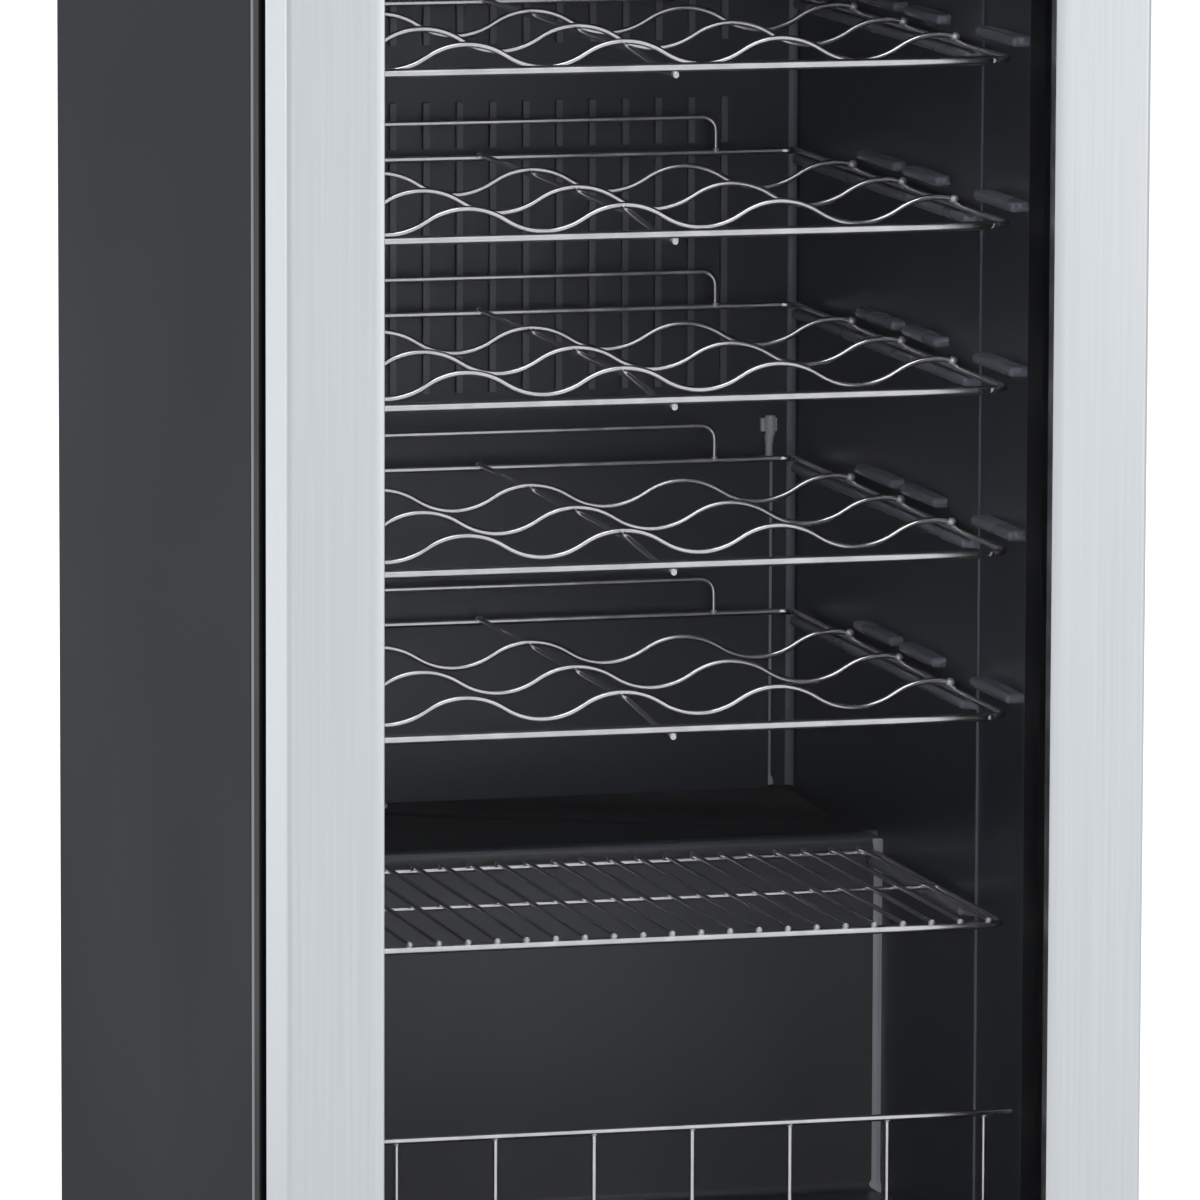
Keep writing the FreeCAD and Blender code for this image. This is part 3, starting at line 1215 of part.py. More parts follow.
# ---- all pieces ----------------------------------------------------------------------------------
def build():
    os.makedirs("parts", exist_ok=True)
    outer_y, inner_y = glass_planes()
    pieces = {
        "outer_cabinet": outer_cabinet(),
        "back_panel": back_panel(),
        "base_plate": base_plate(),
        "front_trim": front_trim(),
        "inner_liner": inner_liner(),
        "insulation_foam": insulation_foam(),
        "compressor_bulkhead": compressor_bulkhead(),
        "wall_spacers": wall_spacers(),
        "front_foot_left": front_foot(-FOOT_X),
        "front_foot_right": front_foot(FOOT_X),
        "rear_feet": rear_feet(),
        "door_frame": door_frame(),
        "door_inner_frame": door_inner_frame(),
        "outer_glass": glass_pane(outer_y),
        "inner_glass": glass_pane(inner_y),
        "glass_spacer": glass_spacer(),
        "door_gasket": door_gasket(),
        "door_grip": door_grip(),
        "hinge_bushes": hinge_bushes(),
        "top_hinge_bracket": top_hinge_bracket(),
        "bottom_hinge_bracket": bottom_hinge_bracket(),
        "screws": screws(),
        "hinge_cover": hinge_cover(),
        "flat_shelf": flat_shelf(),
        "bottle_fence": bottle_fence(),
        "air_duct_cover": air_duct_cover(),
        "fan_housing": fan_housing(),
        "fan_motor": fan_motor(),
        "fan_impeller": fan_impeller(),
        "evaporator": evaporator(),
        "temperature_sensor": temperature_sensor(),
        "control_housing": control_housing(),
        "control_panel": control_panel(),
        "display_window": display_window(),
        "circuit_boards": circuit_boards(),
        "light_lens": light_lens(),
        "compressor": compressor(),
        "compressor_grommets": compressor_grommets(),
        "terminal_box": terminal_box(),
        "evaporation_tray": evaporation_tray(),
        "drain_tube": drain_tube(),
        "filter_drier": filter_drier(),
        "capillary_tube": capillary_tube(),
        "suction_line": suction_line(),
        "discharge_line": discharge_line(),
        "condenser_coil": condenser_coil(),
        "condenser_wires": condenser_wires(),
        "condenser_brackets": condenser_brackets(),
        "cord_gland": cord_gland(),
    }
    for i, x in enumerate(BUTTON_X):
        pieces["button_%d" % (i + 1)] = push_button(x)
    for i, level in enumerate(rack_levels()):
        pieces["wine_rack_%d" % (i + 1)] = wine_rack(level)
    for name, shape in pieces.items():
        report(name, shape)
        save(name, shape)
    print(len(pieces), "nodes")


def report(name, shape):
    solids = len(shape.Solids)
    if not shape.isValid() or solids == 0:
        print("BAD", name, "valid", shape.isValid(), "solids", solids)
    print(name, solids, round(shape.Volume / 1000.0, 1), "cm3")


build()
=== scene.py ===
"""Looks of the wine cooler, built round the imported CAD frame. Metres, same frame as the CAD model."""

import json
import math
import random

import bmesh
import bpy
from mathutils import Matrix, Vector


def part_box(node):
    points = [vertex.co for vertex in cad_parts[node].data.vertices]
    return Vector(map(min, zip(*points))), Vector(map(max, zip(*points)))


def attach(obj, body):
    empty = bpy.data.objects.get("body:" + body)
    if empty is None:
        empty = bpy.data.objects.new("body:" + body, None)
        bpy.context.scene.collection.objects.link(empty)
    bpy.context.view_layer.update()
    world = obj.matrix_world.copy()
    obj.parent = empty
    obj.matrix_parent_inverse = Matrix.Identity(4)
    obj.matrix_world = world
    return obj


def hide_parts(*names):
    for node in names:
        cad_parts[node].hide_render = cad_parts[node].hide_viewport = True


MM = 0.001
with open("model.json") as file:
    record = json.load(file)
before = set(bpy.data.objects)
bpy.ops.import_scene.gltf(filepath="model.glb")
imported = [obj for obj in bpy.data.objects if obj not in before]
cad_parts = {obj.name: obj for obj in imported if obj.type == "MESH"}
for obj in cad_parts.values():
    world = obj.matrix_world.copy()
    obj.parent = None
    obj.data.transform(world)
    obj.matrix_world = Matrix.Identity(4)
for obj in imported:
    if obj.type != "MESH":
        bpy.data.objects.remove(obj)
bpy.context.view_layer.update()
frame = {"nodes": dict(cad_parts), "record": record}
NODES = frame["nodes"]
RECORD = frame["record"]
BODY_OF = {node: body for body, nodes in RECORD["behaviour"]["bodies"].items() for node in nodes}


# ---- camera, floor and light ---------------------------------------------------------------------
CAMERA_PLACE = Vector((-1.646, -6.059, 1.351))
CAMERA_YAW = math.radians(15.30)
CAMERA_PITCH = math.radians(8.107)
CAMERA_ROLL = math.radians(0.192)
CAMERA_LENS = 324.4
CAMERA_NEAR = 0.05
CAMERA_FAR = 200.0

FLOOR_SIZE = 120
FLOOR_COLOUR = (0.9, 0.9, 0.9)
FLOOR_ROUGHNESS = 0.8
FLOOR_GLOW = 0.4
FLOOR_BOUNCE = 0.9
WHITE = (1, 1, 1)
DOME_COLOUR = (0.93, 0.965, 1.0)
DOME_STRENGTH = 0.85

# name, place, what it points at, size, power, colour
LIGHTS = (
    ("key", (3.0, -4.6, 1.7), (0, -0.2, 0.6), (2.6, 3.2), 34, (1.0, 0.995, 0.985)),
    ("left", (-3.2, 3.4, 1.6), (0, 0, 0.7), (2.4, 3.0), 38, (0.93, 0.965, 1.0)),
    ("top", (-0.4, -2.4, 3.6), (0, 0, 0.6), (1.8, 1.2), 30, (0.96, 0.98, 1.0)),
    ("back", (1.6, 3.6, 2.2), (0, 0.2, 0.5), (2.0, 2.0), 40, (0.97, 0.98, 1.0)),
)


def make_camera():
    data = bpy.data.cameras.new("camera")
    data.lens = CAMERA_LENS
    data.clip_start = CAMERA_NEAR
    data.clip_end = CAMERA_FAR
    camera = bpy.data.objects.new("camera", data)
    bpy.context.scene.collection.objects.link(camera)
    turn = Matrix.Rotation(-CAMERA_YAW, 4, "Z") @ Matrix.Rotation(math.pi / 2 - CAMERA_PITCH, 4, "X")
    camera.matrix_world = Matrix.Translation(CAMERA_PLACE) @ turn @ Matrix.Rotation(CAMERA_ROLL, 4, "Z")
    bpy.context.scene.camera = camera


def area_light(name, place, target, size, power, colour):
    data = bpy.data.lights.new(name, "AREA")
    data.shape = "RECTANGLE"
    data.size, data.size_y = size
    data.energy = power
    data.color = colour
    light = bpy.data.objects.new(name, data)
    light.location = place
    aim = Vector(target) - Vector(place)
    light.rotation_mode = "QUATERNION"
    light.rotation_quaternion = aim.to_track_quat("-Z", "Y")
    bpy.context.scene.collection.objects.link(light)


def seen_or_bounced(tree, seen, bounced, surface):
    """Joins two shaders: camera rays meet the seen one, all other rays the bounced one."""
    mix = tree.nodes.new("ShaderNodeMixShader")
    path = tree.nodes.new("ShaderNodeLightPath")
    tree.links.new(path.outputs["Is Camera Ray"], mix.inputs["Fac"])
    tree.links.new(bounced.outputs[0], mix.inputs[1])
    tree.links.new(seen.outputs[0], mix.inputs[2])
    tree.links.new(mix.outputs[0], surface)


def make_floor():
    """A white floor, a little darker to reflections and bounces than to the camera."""
    bpy.ops.mesh.primitive_plane_add(size=FLOOR_SIZE)
    floor = bpy.context.object
    floor.name = "floor"
    material = bpy.data.materials.new("floor")
    material.use_nodes = True
    nodes = material.node_tree.nodes
    seen = nodes["Principled BSDF"]
    seen.inputs["Base Color"].default_value = (*FLOOR_COLOUR, 1)
    seen.inputs["Roughness"].default_value = FLOOR_ROUGHNESS
    seen.inputs["Emission Color"].default_value = (*WHITE, 1)
    seen.inputs["Emission Strength"].default_value = FLOOR_GLOW
    bounced = nodes.new("ShaderNodeBsdfDiffuse")
    bounced.inputs["Color"].default_value = (FLOOR_BOUNCE, FLOOR_BOUNCE, FLOOR_BOUNCE, 1)
    seen_or_bounced(material.node_tree, seen, bounced, nodes["Material Output"].inputs["Surface"])
    floor.data.materials.append(material)


def make_world():
    """White to the camera, and a soft cool dome to everything else."""
    scene = bpy.context.scene
    scene.view_settings.view_transform = "Standard"
    world = bpy.data.worlds.new("studio")
    scene.world = world
    world.use_nodes = True
    nodes = world.node_tree.nodes
    nodes.clear()
    out = nodes.new("ShaderNodeOutputWorld")
    seen = nodes.new("ShaderNodeBackground")
    seen.inputs["Color"].default_value = (*WHITE, 1)
    dome = nodes.new("ShaderNodeBackground")
    dome.inputs["Color"].default_value = (*DOME_COLOUR, 1)
    dome.inputs["Strength"].default_value = DOME_STRENGTH
    seen_or_bounced(world.node_tree, seen, dome, out.inputs["Surface"])


def make_studio():
    make_world()
    make_floor()
    for light in LIGHTS:
        area_light(*light)


# ---- materials -----------------------------------------------------------------------------------
GRAIN_STRETCH = 0.012
FINE_SHARE = 0.65
CLOUD_SHARE = 0.35
GLASS_MIRROR_IOR = 1.08
GLASS_TINT = (0.972, 0.972, 0.974)
MID_LOW = 0.3
MID_HIGH = 0.7


def shade(colour, by):
    return tuple(min(1.0, c * by) for c in colour)


class Shader:
    """A Principled material and short ways to add procedural detail to it."""

    def __init__(self, name, colour, roughness, metallic=0.0):
        self.material = bpy.data.materials.new(name)
        self.material.use_nodes = True
        self.tree = self.material.node_tree
        self.bsdf = self.tree.nodes["Principled BSDF"]
        self.colour = colour
        self.normal = None
        self.set("Base Color", (*colour, 1))
        self.set("Roughness", roughness)
        self.set("Metallic", metallic)

    def set(self, socket, value):
        self.bsdf.inputs[socket].default_value = value

    def node(self, kind, **values):
        made = self.tree.nodes.new(kind)
        for socket, value in values.items():
            made.inputs[socket.replace("_", " ")].default_value = value
        return made

    def link(self, out, into):
        self.tree.links.new(out, into)

    def place(self, stretch=(1, 1, 1)):
        coordinates = self.node("ShaderNodeTexCoord")
        mapping = self.node("ShaderNodeMapping", Scale=stretch)
        self.link(coordinates.outputs["Object"], mapping.inputs["Vector"])
        return mapping.outputs["Vector"]

    def noise(self, scale, stretch=(1, 1, 1), detail=3.0):
        made = self.node("ShaderNodeTexNoise", Scale=scale, Detail=detail)
        self.link(self.place(stretch), made.inputs["Vector"])
        return made.outputs["Fac"]

    def cells(self, scale):
        made = self.node("ShaderNodeTexVoronoi", Scale=scale)
        self.link(self.place(), made.inputs["Vector"])
        return made

    def scaled(self, fac, by, plus=None):
        """fac * by, plus another value if one is given."""
        made = self.node("ShaderNodeMath")
        made.operation = "MULTIPLY" if plus is None else "MULTIPLY_ADD"
        made.inputs[1].default_value = by
        self.link(fac, made.inputs[0])
        if plus is not None:
            self.link(plus, made.inputs[2])
        return made.outputs[0]

    def blend_colours(self, fac, low, high):
        """Base colour runs from low to high over the middle of fac's range."""
        ramp = self.node("ShaderNodeValToRGB")
        ramp.color_ramp.elements[0].position = MID_LOW
        ramp.color_ramp.elements[0].color = (*low, 1)
        ramp.color_ramp.elements[1].position = MID_HIGH
        ramp.color_ramp.elements[1].color = (*high, 1)
        self.link(fac, ramp.inputs["Fac"])
        self.link(ramp.outputs["Color"], self.bsdf.inputs["Base Color"])

    def vary_colour(self, fac, darkest, lightest):
        """The material's own colour, times darkest to lightest."""
        self.blend_colours(fac, shade(self.colour, darkest), shade(self.colour, lightest))

    def vary_roughness(self, fac, low, high):
        made = self.node("ShaderNodeMapRange", From_Min=MID_LOW, From_Max=MID_HIGH, To_Min=low, To_Max=high)
        self.link(fac, made.inputs["Value"])
        self.link(made.outputs["Result"], self.bsdf.inputs["Roughness"])

    def bump(self, fac, depth, strength):
        made = self.node("ShaderNodeBump", Strength=strength, Distance=depth)
        self.link(fac, made.inputs["Height"])
        if self.normal is not None:
            self.link(self.normal, made.inputs["Normal"])
        self.normal = made.outputs["Normal"]
        self.link(self.normal, self.bsdf.inputs["Normal"])


def brushed_steel(name, grain):
    """Brushed stainless sheet. grain is the axis, 0 to 2, along which the scratches run."""
    steel = Shader(name, (0.625, 0.637, 0.647), roughness=0.36, metallic=1.0)
    stretch = [1.0, 1.0, 1.0]
    stretch[grain] = GRAIN_STRETCH
    fine = steel.noise(scale=2600.0, stretch=stretch, detail=2.0)
    broad = steel.noise(scale=420.0, stretch=stretch, detail=2.0)
    cloud = steel.noise(scale=3.0, detail=2.0)
    steel.vary_colour(broad, darkest=0.965, lightest=1.035)
    mixed = steel.scaled(cloud, by=CLOUD_SHARE, plus=steel.scaled(fine, by=FINE_SHARE))
    steel.vary_roughness(mixed, low=0.30, high=0.42)
    steel.bump(fine, depth=0.02 * MM, strength=0.6)
    return steel.material


def painted_steel():
    """Satin charcoal paint with a faint orange peel."""
    paint = Shader("painted_steel", (0.0118, 0.0126, 0.0168), roughness=0.55)
    paint.set("Specular IOR Level", 0.05)
    paint.bump(paint.noise(scale=900.0, detail=2.0), depth=0.04 * MM, strength=0.35)
    cloud = paint.noise(scale=2.2, detail=2.0)
    paint.vary_colour(cloud, darkest=0.95, lightest=1.06)
    paint.vary_roughness(cloud, low=0.52, high=0.6)
    return paint.material


def moulded(name, colour, roughness, grain=1400.0, depth=0.03 * MM, specular=0.5):
    """Moulded plastic with a fine grained skin. grain is its scale, depth its height."""
    plastic = Shader(name, colour, roughness)
    plastic.set("Specular IOR Level", specular)
    plastic.bump(plastic.noise(scale=grain, detail=2.0), depth=depth, strength=0.5)
    cloud = plastic.noise(scale=9.0, detail=2.0)
    plastic.vary_colour(cloud, darkest=0.92, lightest=1.08)
    plastic.vary_roughness(cloud, low=roughness - 0.04, high=roughness + 0.05)
    return plastic.material


def liner_plastic():
    """Vacuum-formed sheet, blue-black with a soft gloss."""
    plastic = Shader("liner_plastic", (0.0165, 0.0190, 0.0340), roughness=0.36)
    plastic.set("Specular IOR Level", 0.7)
    plastic.set("Coat Weight", 0.25)
    plastic.set("Coat Roughness", 0.24)
    fine = plastic.noise(scale=420.0, detail=2.0)
    plastic.bump(fine, depth=0.04 * MM, strength=0.4)
    plastic.vary_roughness(fine, low=0.33, high=0.41)
    plastic.vary_colour(plastic.noise(scale=4.0, detail=2.0), darkest=0.9, lightest=1.12)
    return plastic.material


def chrome_wire():
    """Bright plated wire, a little uneven in shine."""
    chrome = Shader("chrome_wire", (0.83, 0.815, 0.82), roughness=0.16, metallic=1.0)
    cloud = chrome.noise(scale=60.0)
    chrome.vary_colour(cloud, darkest=0.9, lightest=1.08)
    chrome.vary_roughness(cloud, low=0.12, high=0.24)
    chrome.bump(chrome.noise(scale=900.0, detail=2.0), depth=0.03 * MM, strength=0.3)
    return chrome.material


def weld_metal():
    """Plated weld, bright and a little matt, so that it shows from every side: its whiteness is partly a
    painted glint.
    """
    weld = Shader("weld_nickel_and_glint", (0.93, 0.93, 0.94), roughness=0.38, metallic=0.55)
    grain = weld.noise(scale=900.0)
    weld.vary_colour(grain, darkest=0.85, lightest=1.05)
    weld.bump(grain, depth=0.1 * MM, strength=0.5)
    weld.vary_roughness(weld.noise(scale=200.0), low=0.3, high=0.46)
    return weld.material


def clear_glass():
    """Thin clear pane: straight through, with a little mirror that grows towards grazing."""
    glass = Shader("clear_glass", WHITE, roughness=0.015, metallic=1.0)
    mirror = glass.node("ShaderNodeFresnel", IOR=GLASS_MIRROR_IOR)
    clear = glass.node("ShaderNodeBsdfTransparent", Color=(*GLASS_TINT, 1))
    mix = glass.node("ShaderNodeMixShader")
    glass.link(mirror.outputs["Fac"], mix.inputs["Fac"])
    glass.link(clear.outputs[0], mix.inputs[1])
    glass.link(glass.bsdf.outputs[0], mix.inputs[2])
    glass.link(mix.outputs[0], glass.tree.nodes["Material Output"].inputs["Surface"])
    return glass.material


def galvanised():
    """Zinc-coated sheet with its crystal spangle."""
    zinc = Shader("galvanised_steel", (0.42, 0.43, 0.44), roughness=0.42, metallic=1.0)
    spangle = zinc.node("ShaderNodeSeparateColor")
    zinc.link(zinc.cells(scale=190.0).outputs["Color"], spangle.inputs["Color"])
    zinc.vary_colour(spangle.outputs["Red"], darkest=0.92, lightest=1.06)
    zinc.vary_roughness(spangle.outputs["Green"], low=0.34, high=0.52)
    return zinc.material


def metal(name, colour, roughness, scale=80.0):
    """Plain metal with stains of the given scale and a fine grain."""
    made = Shader(name, colour, roughness, metallic=1.0)
    cloud = made.noise(scale=scale, detail=4.0)
    made.vary_colour(cloud, darkest=0.82, lightest=1.12)
    made.vary_roughness(cloud, low=roughness - 0.07, high=roughness + 0.1)
    made.bump(made.noise(scale=700.0, detail=2.0), depth=0.04 * MM, strength=0.3)
    return made.material


def rubber():
    made = Shader("rubber", (0.006, 0.006, 0.0066), roughness=0.62)
    made.set("Specular IOR Level", 0.12)
    made.bump(made.noise(scale=1100.0), depth=0.06 * MM, strength=0.6)
    made.vary_roughness(made.noise(scale=18.0), low=0.55, high=0.7)
    return made.material


def foam_material():
    made = Shader("foam", (0.62, 0.5, 0.25), roughness=0.9)
    made.bump(made.cells(scale=900.0).outputs["Distance"], depth=0.4 * MM, strength=0.7)
    made.blend_colours(made.noise(scale=40.0), (0.55, 0.43, 0.2), (0.68, 0.56, 0.3))
    return made.material


def board_material():
    made = Shader("circuit_board", (0.02, 0.12, 0.05), roughness=0.35)
    pads = made.cells(scale=260.0).outputs["Distance"]
    made.blend_colours(pads, (0.015, 0.09, 0.035), (0.03, 0.17, 0.07))
    made.bump(made.noise(scale=500.0), depth=0.05 * MM, strength=0.4)
    return made.material


def milky_plastic():
    made = Shader("milky_plastic", (0.78, 0.79, 0.8), roughness=0.35)
    made.set("Subsurface Weight", 0.2)
    made.set("Subsurface Radius", (4 * MM, 4 * MM, 4 * MM))
    made.bump(made.noise(scale=600.0), depth=0.03 * MM, strength=0.3)
    made.vary_roughness(made.noise(scale=30.0), low=0.3, high=0.42)
    return made.material


def make_materials():
    return {
        "paint": painted_steel(),
        "steel_upright": brushed_steel("brushed_steel_upright", grain=2),
        "steel_across": brushed_steel("brushed_steel_across", grain=0),
        "liner": liner_plastic(),
        # trim: its own grey, lightened in part as a painted highlight of the cabinet's rounded front edge
        "trim": moulded("trim_grey_and_edge_highlight", (0.15, 0.156, 0.165), 0.42, specular=0.25),
        "black": moulded("black_plastic", (0.0024, 0.0026, 0.0034), 0.5, specular=0.12),
        # step front: a lighter grey copy of the liner, a painted reflection on the step's front face
        "hump": moulded("hump_front_painted_sheen", (0.088, 0.087, 0.091), 0.34, grain=420.0, depth=0.04 * MM),
        # step top: darker than the liner, painted shade above the step
        "hump_top": moulded("hump_top_painted_shade", (0.004, 0.004, 0.0045), 0.5, specular=0.2),
        # duct cover ribs and edges: a lighter grey, a painted highlight
        "rib": moulded("rib_painted_highlight", (0.17, 0.175, 0.195), 0.26, grain=400.0, depth=0.02 * MM),
        # pale plastic of the sensor's sleeve and of the corner beads; on the beads it is a painted highlight
        "sleeve": moulded("sleeve_and_bead_highlight", (0.74, 0.745, 0.78), 0.3),
        # guides and lugs: a lighter grey copy of the liner, a painted highlight
        "guide": moulded("guide_painted_highlight", (0.2, 0.21, 0.245), 0.26, grain=400.0, depth=0.02 * MM),
        "panel": moulded("panel_gloss", (0.006, 0.006, 0.008), 0.12, grain=300.0, depth=0.01 * MM),
        "button": moulded("button_grey", (0.2, 0.21, 0.22), 0.35),
        "chrome": chrome_wire(),
        "weld": weld_metal(),
        "glass": clear_glass(),
        "zinc": galvanised(),
        "aluminium": metal("aluminium", (0.5, 0.5, 0.51), 0.38),
        "screw": metal("screw_steel", (0.52, 0.53, 0.54), 0.3),
        "copper": metal("copper", (0.62, 0.27, 0.15), 0.32, scale=30.0),
        "pot": moulded("compressor_enamel", (0.012, 0.012, 0.013), 0.33, grain=500.0, depth=0.08 * MM),
        "rubber": rubber(),
        "foam": foam_material(),
        "board": board_material(),
        "milky": milky_plastic(),
    }


NODE_MATERIALS = {
    "paint": ("outer_cabinet", "compressor_bulkhead", "top_hinge_bracket", "bottom_hinge_bracket"),
    "zinc": ("back_panel", "base_plate"),
    "trim": ("front_trim",),
    "liner": ("inner_liner", "air_duct_cover", "fan_housing", "control_housing"),
    "panel": ("control_panel", "display_window"),
    "foam": ("insulation_foam",),
    "black": ("wall_spacers", "rear_feet", "hinge_cover", "terminal_box", "door_inner_frame", "door_grip",
              "cord_gland", "fan_impeller", "front_foot_left", "front_foot_right", "evaporation_tray",
              "condenser_brackets"),
    "steel_upright": ("door_frame",),
    "glass": ("outer_glass", "inner_glass"),
    "aluminium": ("glass_spacer", "evaporator"),
    "rubber": ("door_gasket", "compressor_grommets"),
    "pot": ("compressor", "condenser_coil", "condenser_wires"),
    "copper": ("filter_drier", "capillary_tube", "suction_line", "discharge_line"),
    "milky": ("light_lens", "temperature_sensor", "drain_tube", "hinge_bushes"),
    "board": ("circuit_boards",),
    "screw": ("screws", "fan_motor"),
    "button": ("button_1", "button_2", "button_3", "button_4"),
    "chrome": ("flat_shelf", "bottle_fence") + tuple("wine_rack_%d" % i for i in range(1, 8)),
}


def dress_nodes(materials):
    for name, members in NODE_MATERIALS.items():
        for member in members:
            mesh = NODES[member].data
            mesh.materials.clear()
            mesh.materials.append(materials[name])


# ---- mesh helpers --------------------------------------------------------------------------------
JOIN_DISTANCE = 0.002 * MM
FLAT_ANGLE = 0.4
SHARP_ANGLE = 35
NORMAL_WEIGHT = 90
CUT_ROUND = 1.5 * MM


def finish_piece(name, bm, materials, body, replaced=(), smooth_angle=40):
    """Turns bm into a piece that rides on a body and fills a material slot."""
    bmesh.ops.recalc_face_normals(bm, faces=bm.faces)
    mesh = bpy.data.meshes.new(name)
    bm.to_mesh(mesh)
    bm.free()
    for material in materials:
        mesh.materials.append(material)
    piece = bpy.data.objects.new(name, mesh)
    bpy.context.scene.collection.objects.link(piece)
    mesh.shade_smooth()
    mesh.set_sharp_from_angle(angle=math.radians(smooth_angle))
    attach(piece, body)
    if replaced:
        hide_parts(*replaced)
    normals = piece.modifiers.new("normals", "WEIGHTED_NORMAL")
    normals.keep_sharp = True
    normals.weight = NORMAL_WEIGHT
    return piece


def welded_copy(node):
    """A copy of a CAD node's mesh with its faces joined and its flat ones whole."""
    bm = bmesh.new()
    bm.from_mesh(NODES[node].data)
    bmesh.ops.remove_doubles(bm, verts=bm.verts, dist=JOIN_DISTANCE)
    bmesh.ops.dissolve_limit(bm, angle_limit=math.radians(FLAT_ANGLE), verts=bm.verts, edges=bm.edges)
    return bm


def bevel(bm, edges, width, segments=2):
    if edges:
        bmesh.ops.bevel(bm, geom=edges, offset=width, offset_type="OFFSET", segments=segments,
                        profile=0.5, affect="EDGES", clamp_overlap=True)


def sharp_edges(bm, keep=None):
    """The edges where the surface turns sharply, or those of them that keep says yes to."""
    limit = math.radians(SHARP_ANGLE)
    found = []
    for edge in bm.edges:
        if len(edge.link_faces) == 2 and edge.calc_face_angle() > limit:
            if keep is None or keep(edge):
                found.append(edge)
    return found


def rounded(node, material, width, segments=2):
    """The CAD node again with every sharp edge rounded."""
    bm = welded_copy(node)
    bevel(bm, sharp_edges(bm), width, segments)
    return finish_piece(node + "_round", bm, (material,), BODY_OF[node], (node,))


def loft(bm, rings):
    """Skins a row of rings of points and closes both ends."""
    faces = []
    for under, over in zip(rings, rings[1:]):
        for i in range(len(under)):
            j = (i + 1) % len(under)
            faces.append(bm.faces.new((under[i], under[j], over[j], over[i])))
    faces.append(bm.faces.new(rings[0]))
    faces.append(bm.faces.new(rings[-1]))
    return faces


def mitred_members(bm, profile, low, high, front, gap=0.0):
    """Four mitred bars round a rectangle. profile is (inset from the edge, depth behind front) points.

    Bars that run across take the second material. gap is left at each mitre.
    """
    corners = ((low.x, low.z, 1, 1), (high.x, low.z, -1, 1), (high.x, high.z, -1, -1), (low.x, high.z, 1, -1))
    for side in range(4):
        ends = (corners[side], corners[(side + 1) % 4])
        along_x = side % 2 == 0
        rings = []
        for end, (x, z, sx, sz) in enumerate(ends):
            shift = gap if end == 0 else -gap
            if side > 1:
                shift = -shift
            ring = []
            for inset, depth in profile:
                px = x + sx * inset + (shift if along_x else 0)
                pz = z + sz * inset + (0 if along_x else shift)
                ring.append(bm.verts.new((px, front + depth, pz)))
            rings.append(ring)
        for face in loft(bm, rings):
            face.material_index = 1 if along_x else 0


def rounded_block(bm, low, high, radius, segments=3):
    """A box with rounded edges, added to bm."""
    size = [h - l for l, h in zip(low, high)]
    centre = [(h + l) / 2 for l, h in zip(low, high)]
    made = bmesh.ops.create_cube(bm, size=1.0)
    for vert in made["verts"]:
        vert.co = Vector([c + v * s for c, v, s in zip(centre, vert.co, size)])
    edges = {edge for vert in made["verts"] for edge in vert.link_edges}
    bmesh.ops.bevel(bm, geom=list(edges), offset=radius, segments=segments, profile=0.5, affect="EDGES")


def cut_box(piece, low, high):
    """Takes a box out of a piece."""
    bm = bmesh.new()
    rounded_block(bm, low, high, CUT_ROUND)
    mesh = bpy.data.meshes.new("cutter")
    bm.to_mesh(mesh)
    bm.free()
    cutter = bpy.data.objects.new("cutter", mesh)
    bpy.context.scene.collection.objects.link(cutter)
    cut = piece.modifiers.new("cut", "BOOLEAN")
    cut.operation = "DIFFERENCE"
    cut.solver = "EXACT"
    cut.object = cutter
    bpy.context.view_layer.update()
    shape = bpy.data.meshes.new_from_object(piece.evaluated_get(bpy.context.evaluated_depsgraph_get()))
    piece.modifiers.remove(cut)
    piece.data = shape
    bpy.data.objects.remove(cutter)


# ---- door ----------------------------------------------------------------------------------------
STILE = 56 * MM
SKIN = 1.2 * MM
EDGE_RADIUS = 3 * MM
EDGE_STEPS = 5
MITRE_GAP = 0.08 * MM
GRIP_MARGIN = 0.5 * MM
CUT_REACH = 10 * MM
# the skin's edge at the pane: mm in from the pane, mm behind the door's face
SKIN_INNER_EDGE = ((6.5, 0), (0.6, 0.9), (0, 1.4), (6, 1.4), (8, 1.2))

SEAL_WIDTH = 18 * MM
# the seal's section, as shares of its width and of its depth
SEAL_SECTION = (
    (0, 0), (1, 0), (1, 0.12), (0.8, 0.2), (0.93, 0.34), (0.74, 0.48), (0.9, 0.6), (0.9, 0.94),
    (0.86, 1), (0.14, 1), (0.1, 0.94), (0.1, 0.6), (0.26, 0.48), (0.07, 0.34), (0.2, 0.2), (0, 0.12),
)


def door_skin(materials):
    """Folded steel skin of the door: four mitred members, with a slot for the grip."""
    low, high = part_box("door_frame")
    depth = high.y - low.y
    profile = [(0, depth)]
    for i in range(EDGE_STEPS + 1):
        turn = math.pi / 2 * i / EDGE_STEPS
        profile.append((EDGE_RADIUS * (1 - math.cos(turn)), EDGE_RADIUS * (1 - math.sin(turn))))
    profile += [(STILE - inset * MM, drop * MM) for inset, drop in SKIN_INNER_EDGE]
    profile += [(SKIN + EDGE_RADIUS, SKIN), (SKIN, SKIN + EDGE_RADIUS), (SKIN, depth)]
    bm = bmesh.new()
    mitred_members(bm, profile, low, high, low.y, MITRE_GAP)
    skin = finish_piece("door_skin", bm, (materials["steel_upright"], materials["steel_across"]), "door",
                        ("door_frame",), 30)
    grip_low, grip_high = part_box("door_grip")
    cut_box(skin, (low.x - CUT_REACH, grip_low.y - GRIP_MARGIN, grip_low.z - GRIP_MARGIN),
            (grip_high.x, grip_high.y + GRIP_MARGIN, grip_high.z + GRIP_MARGIN))


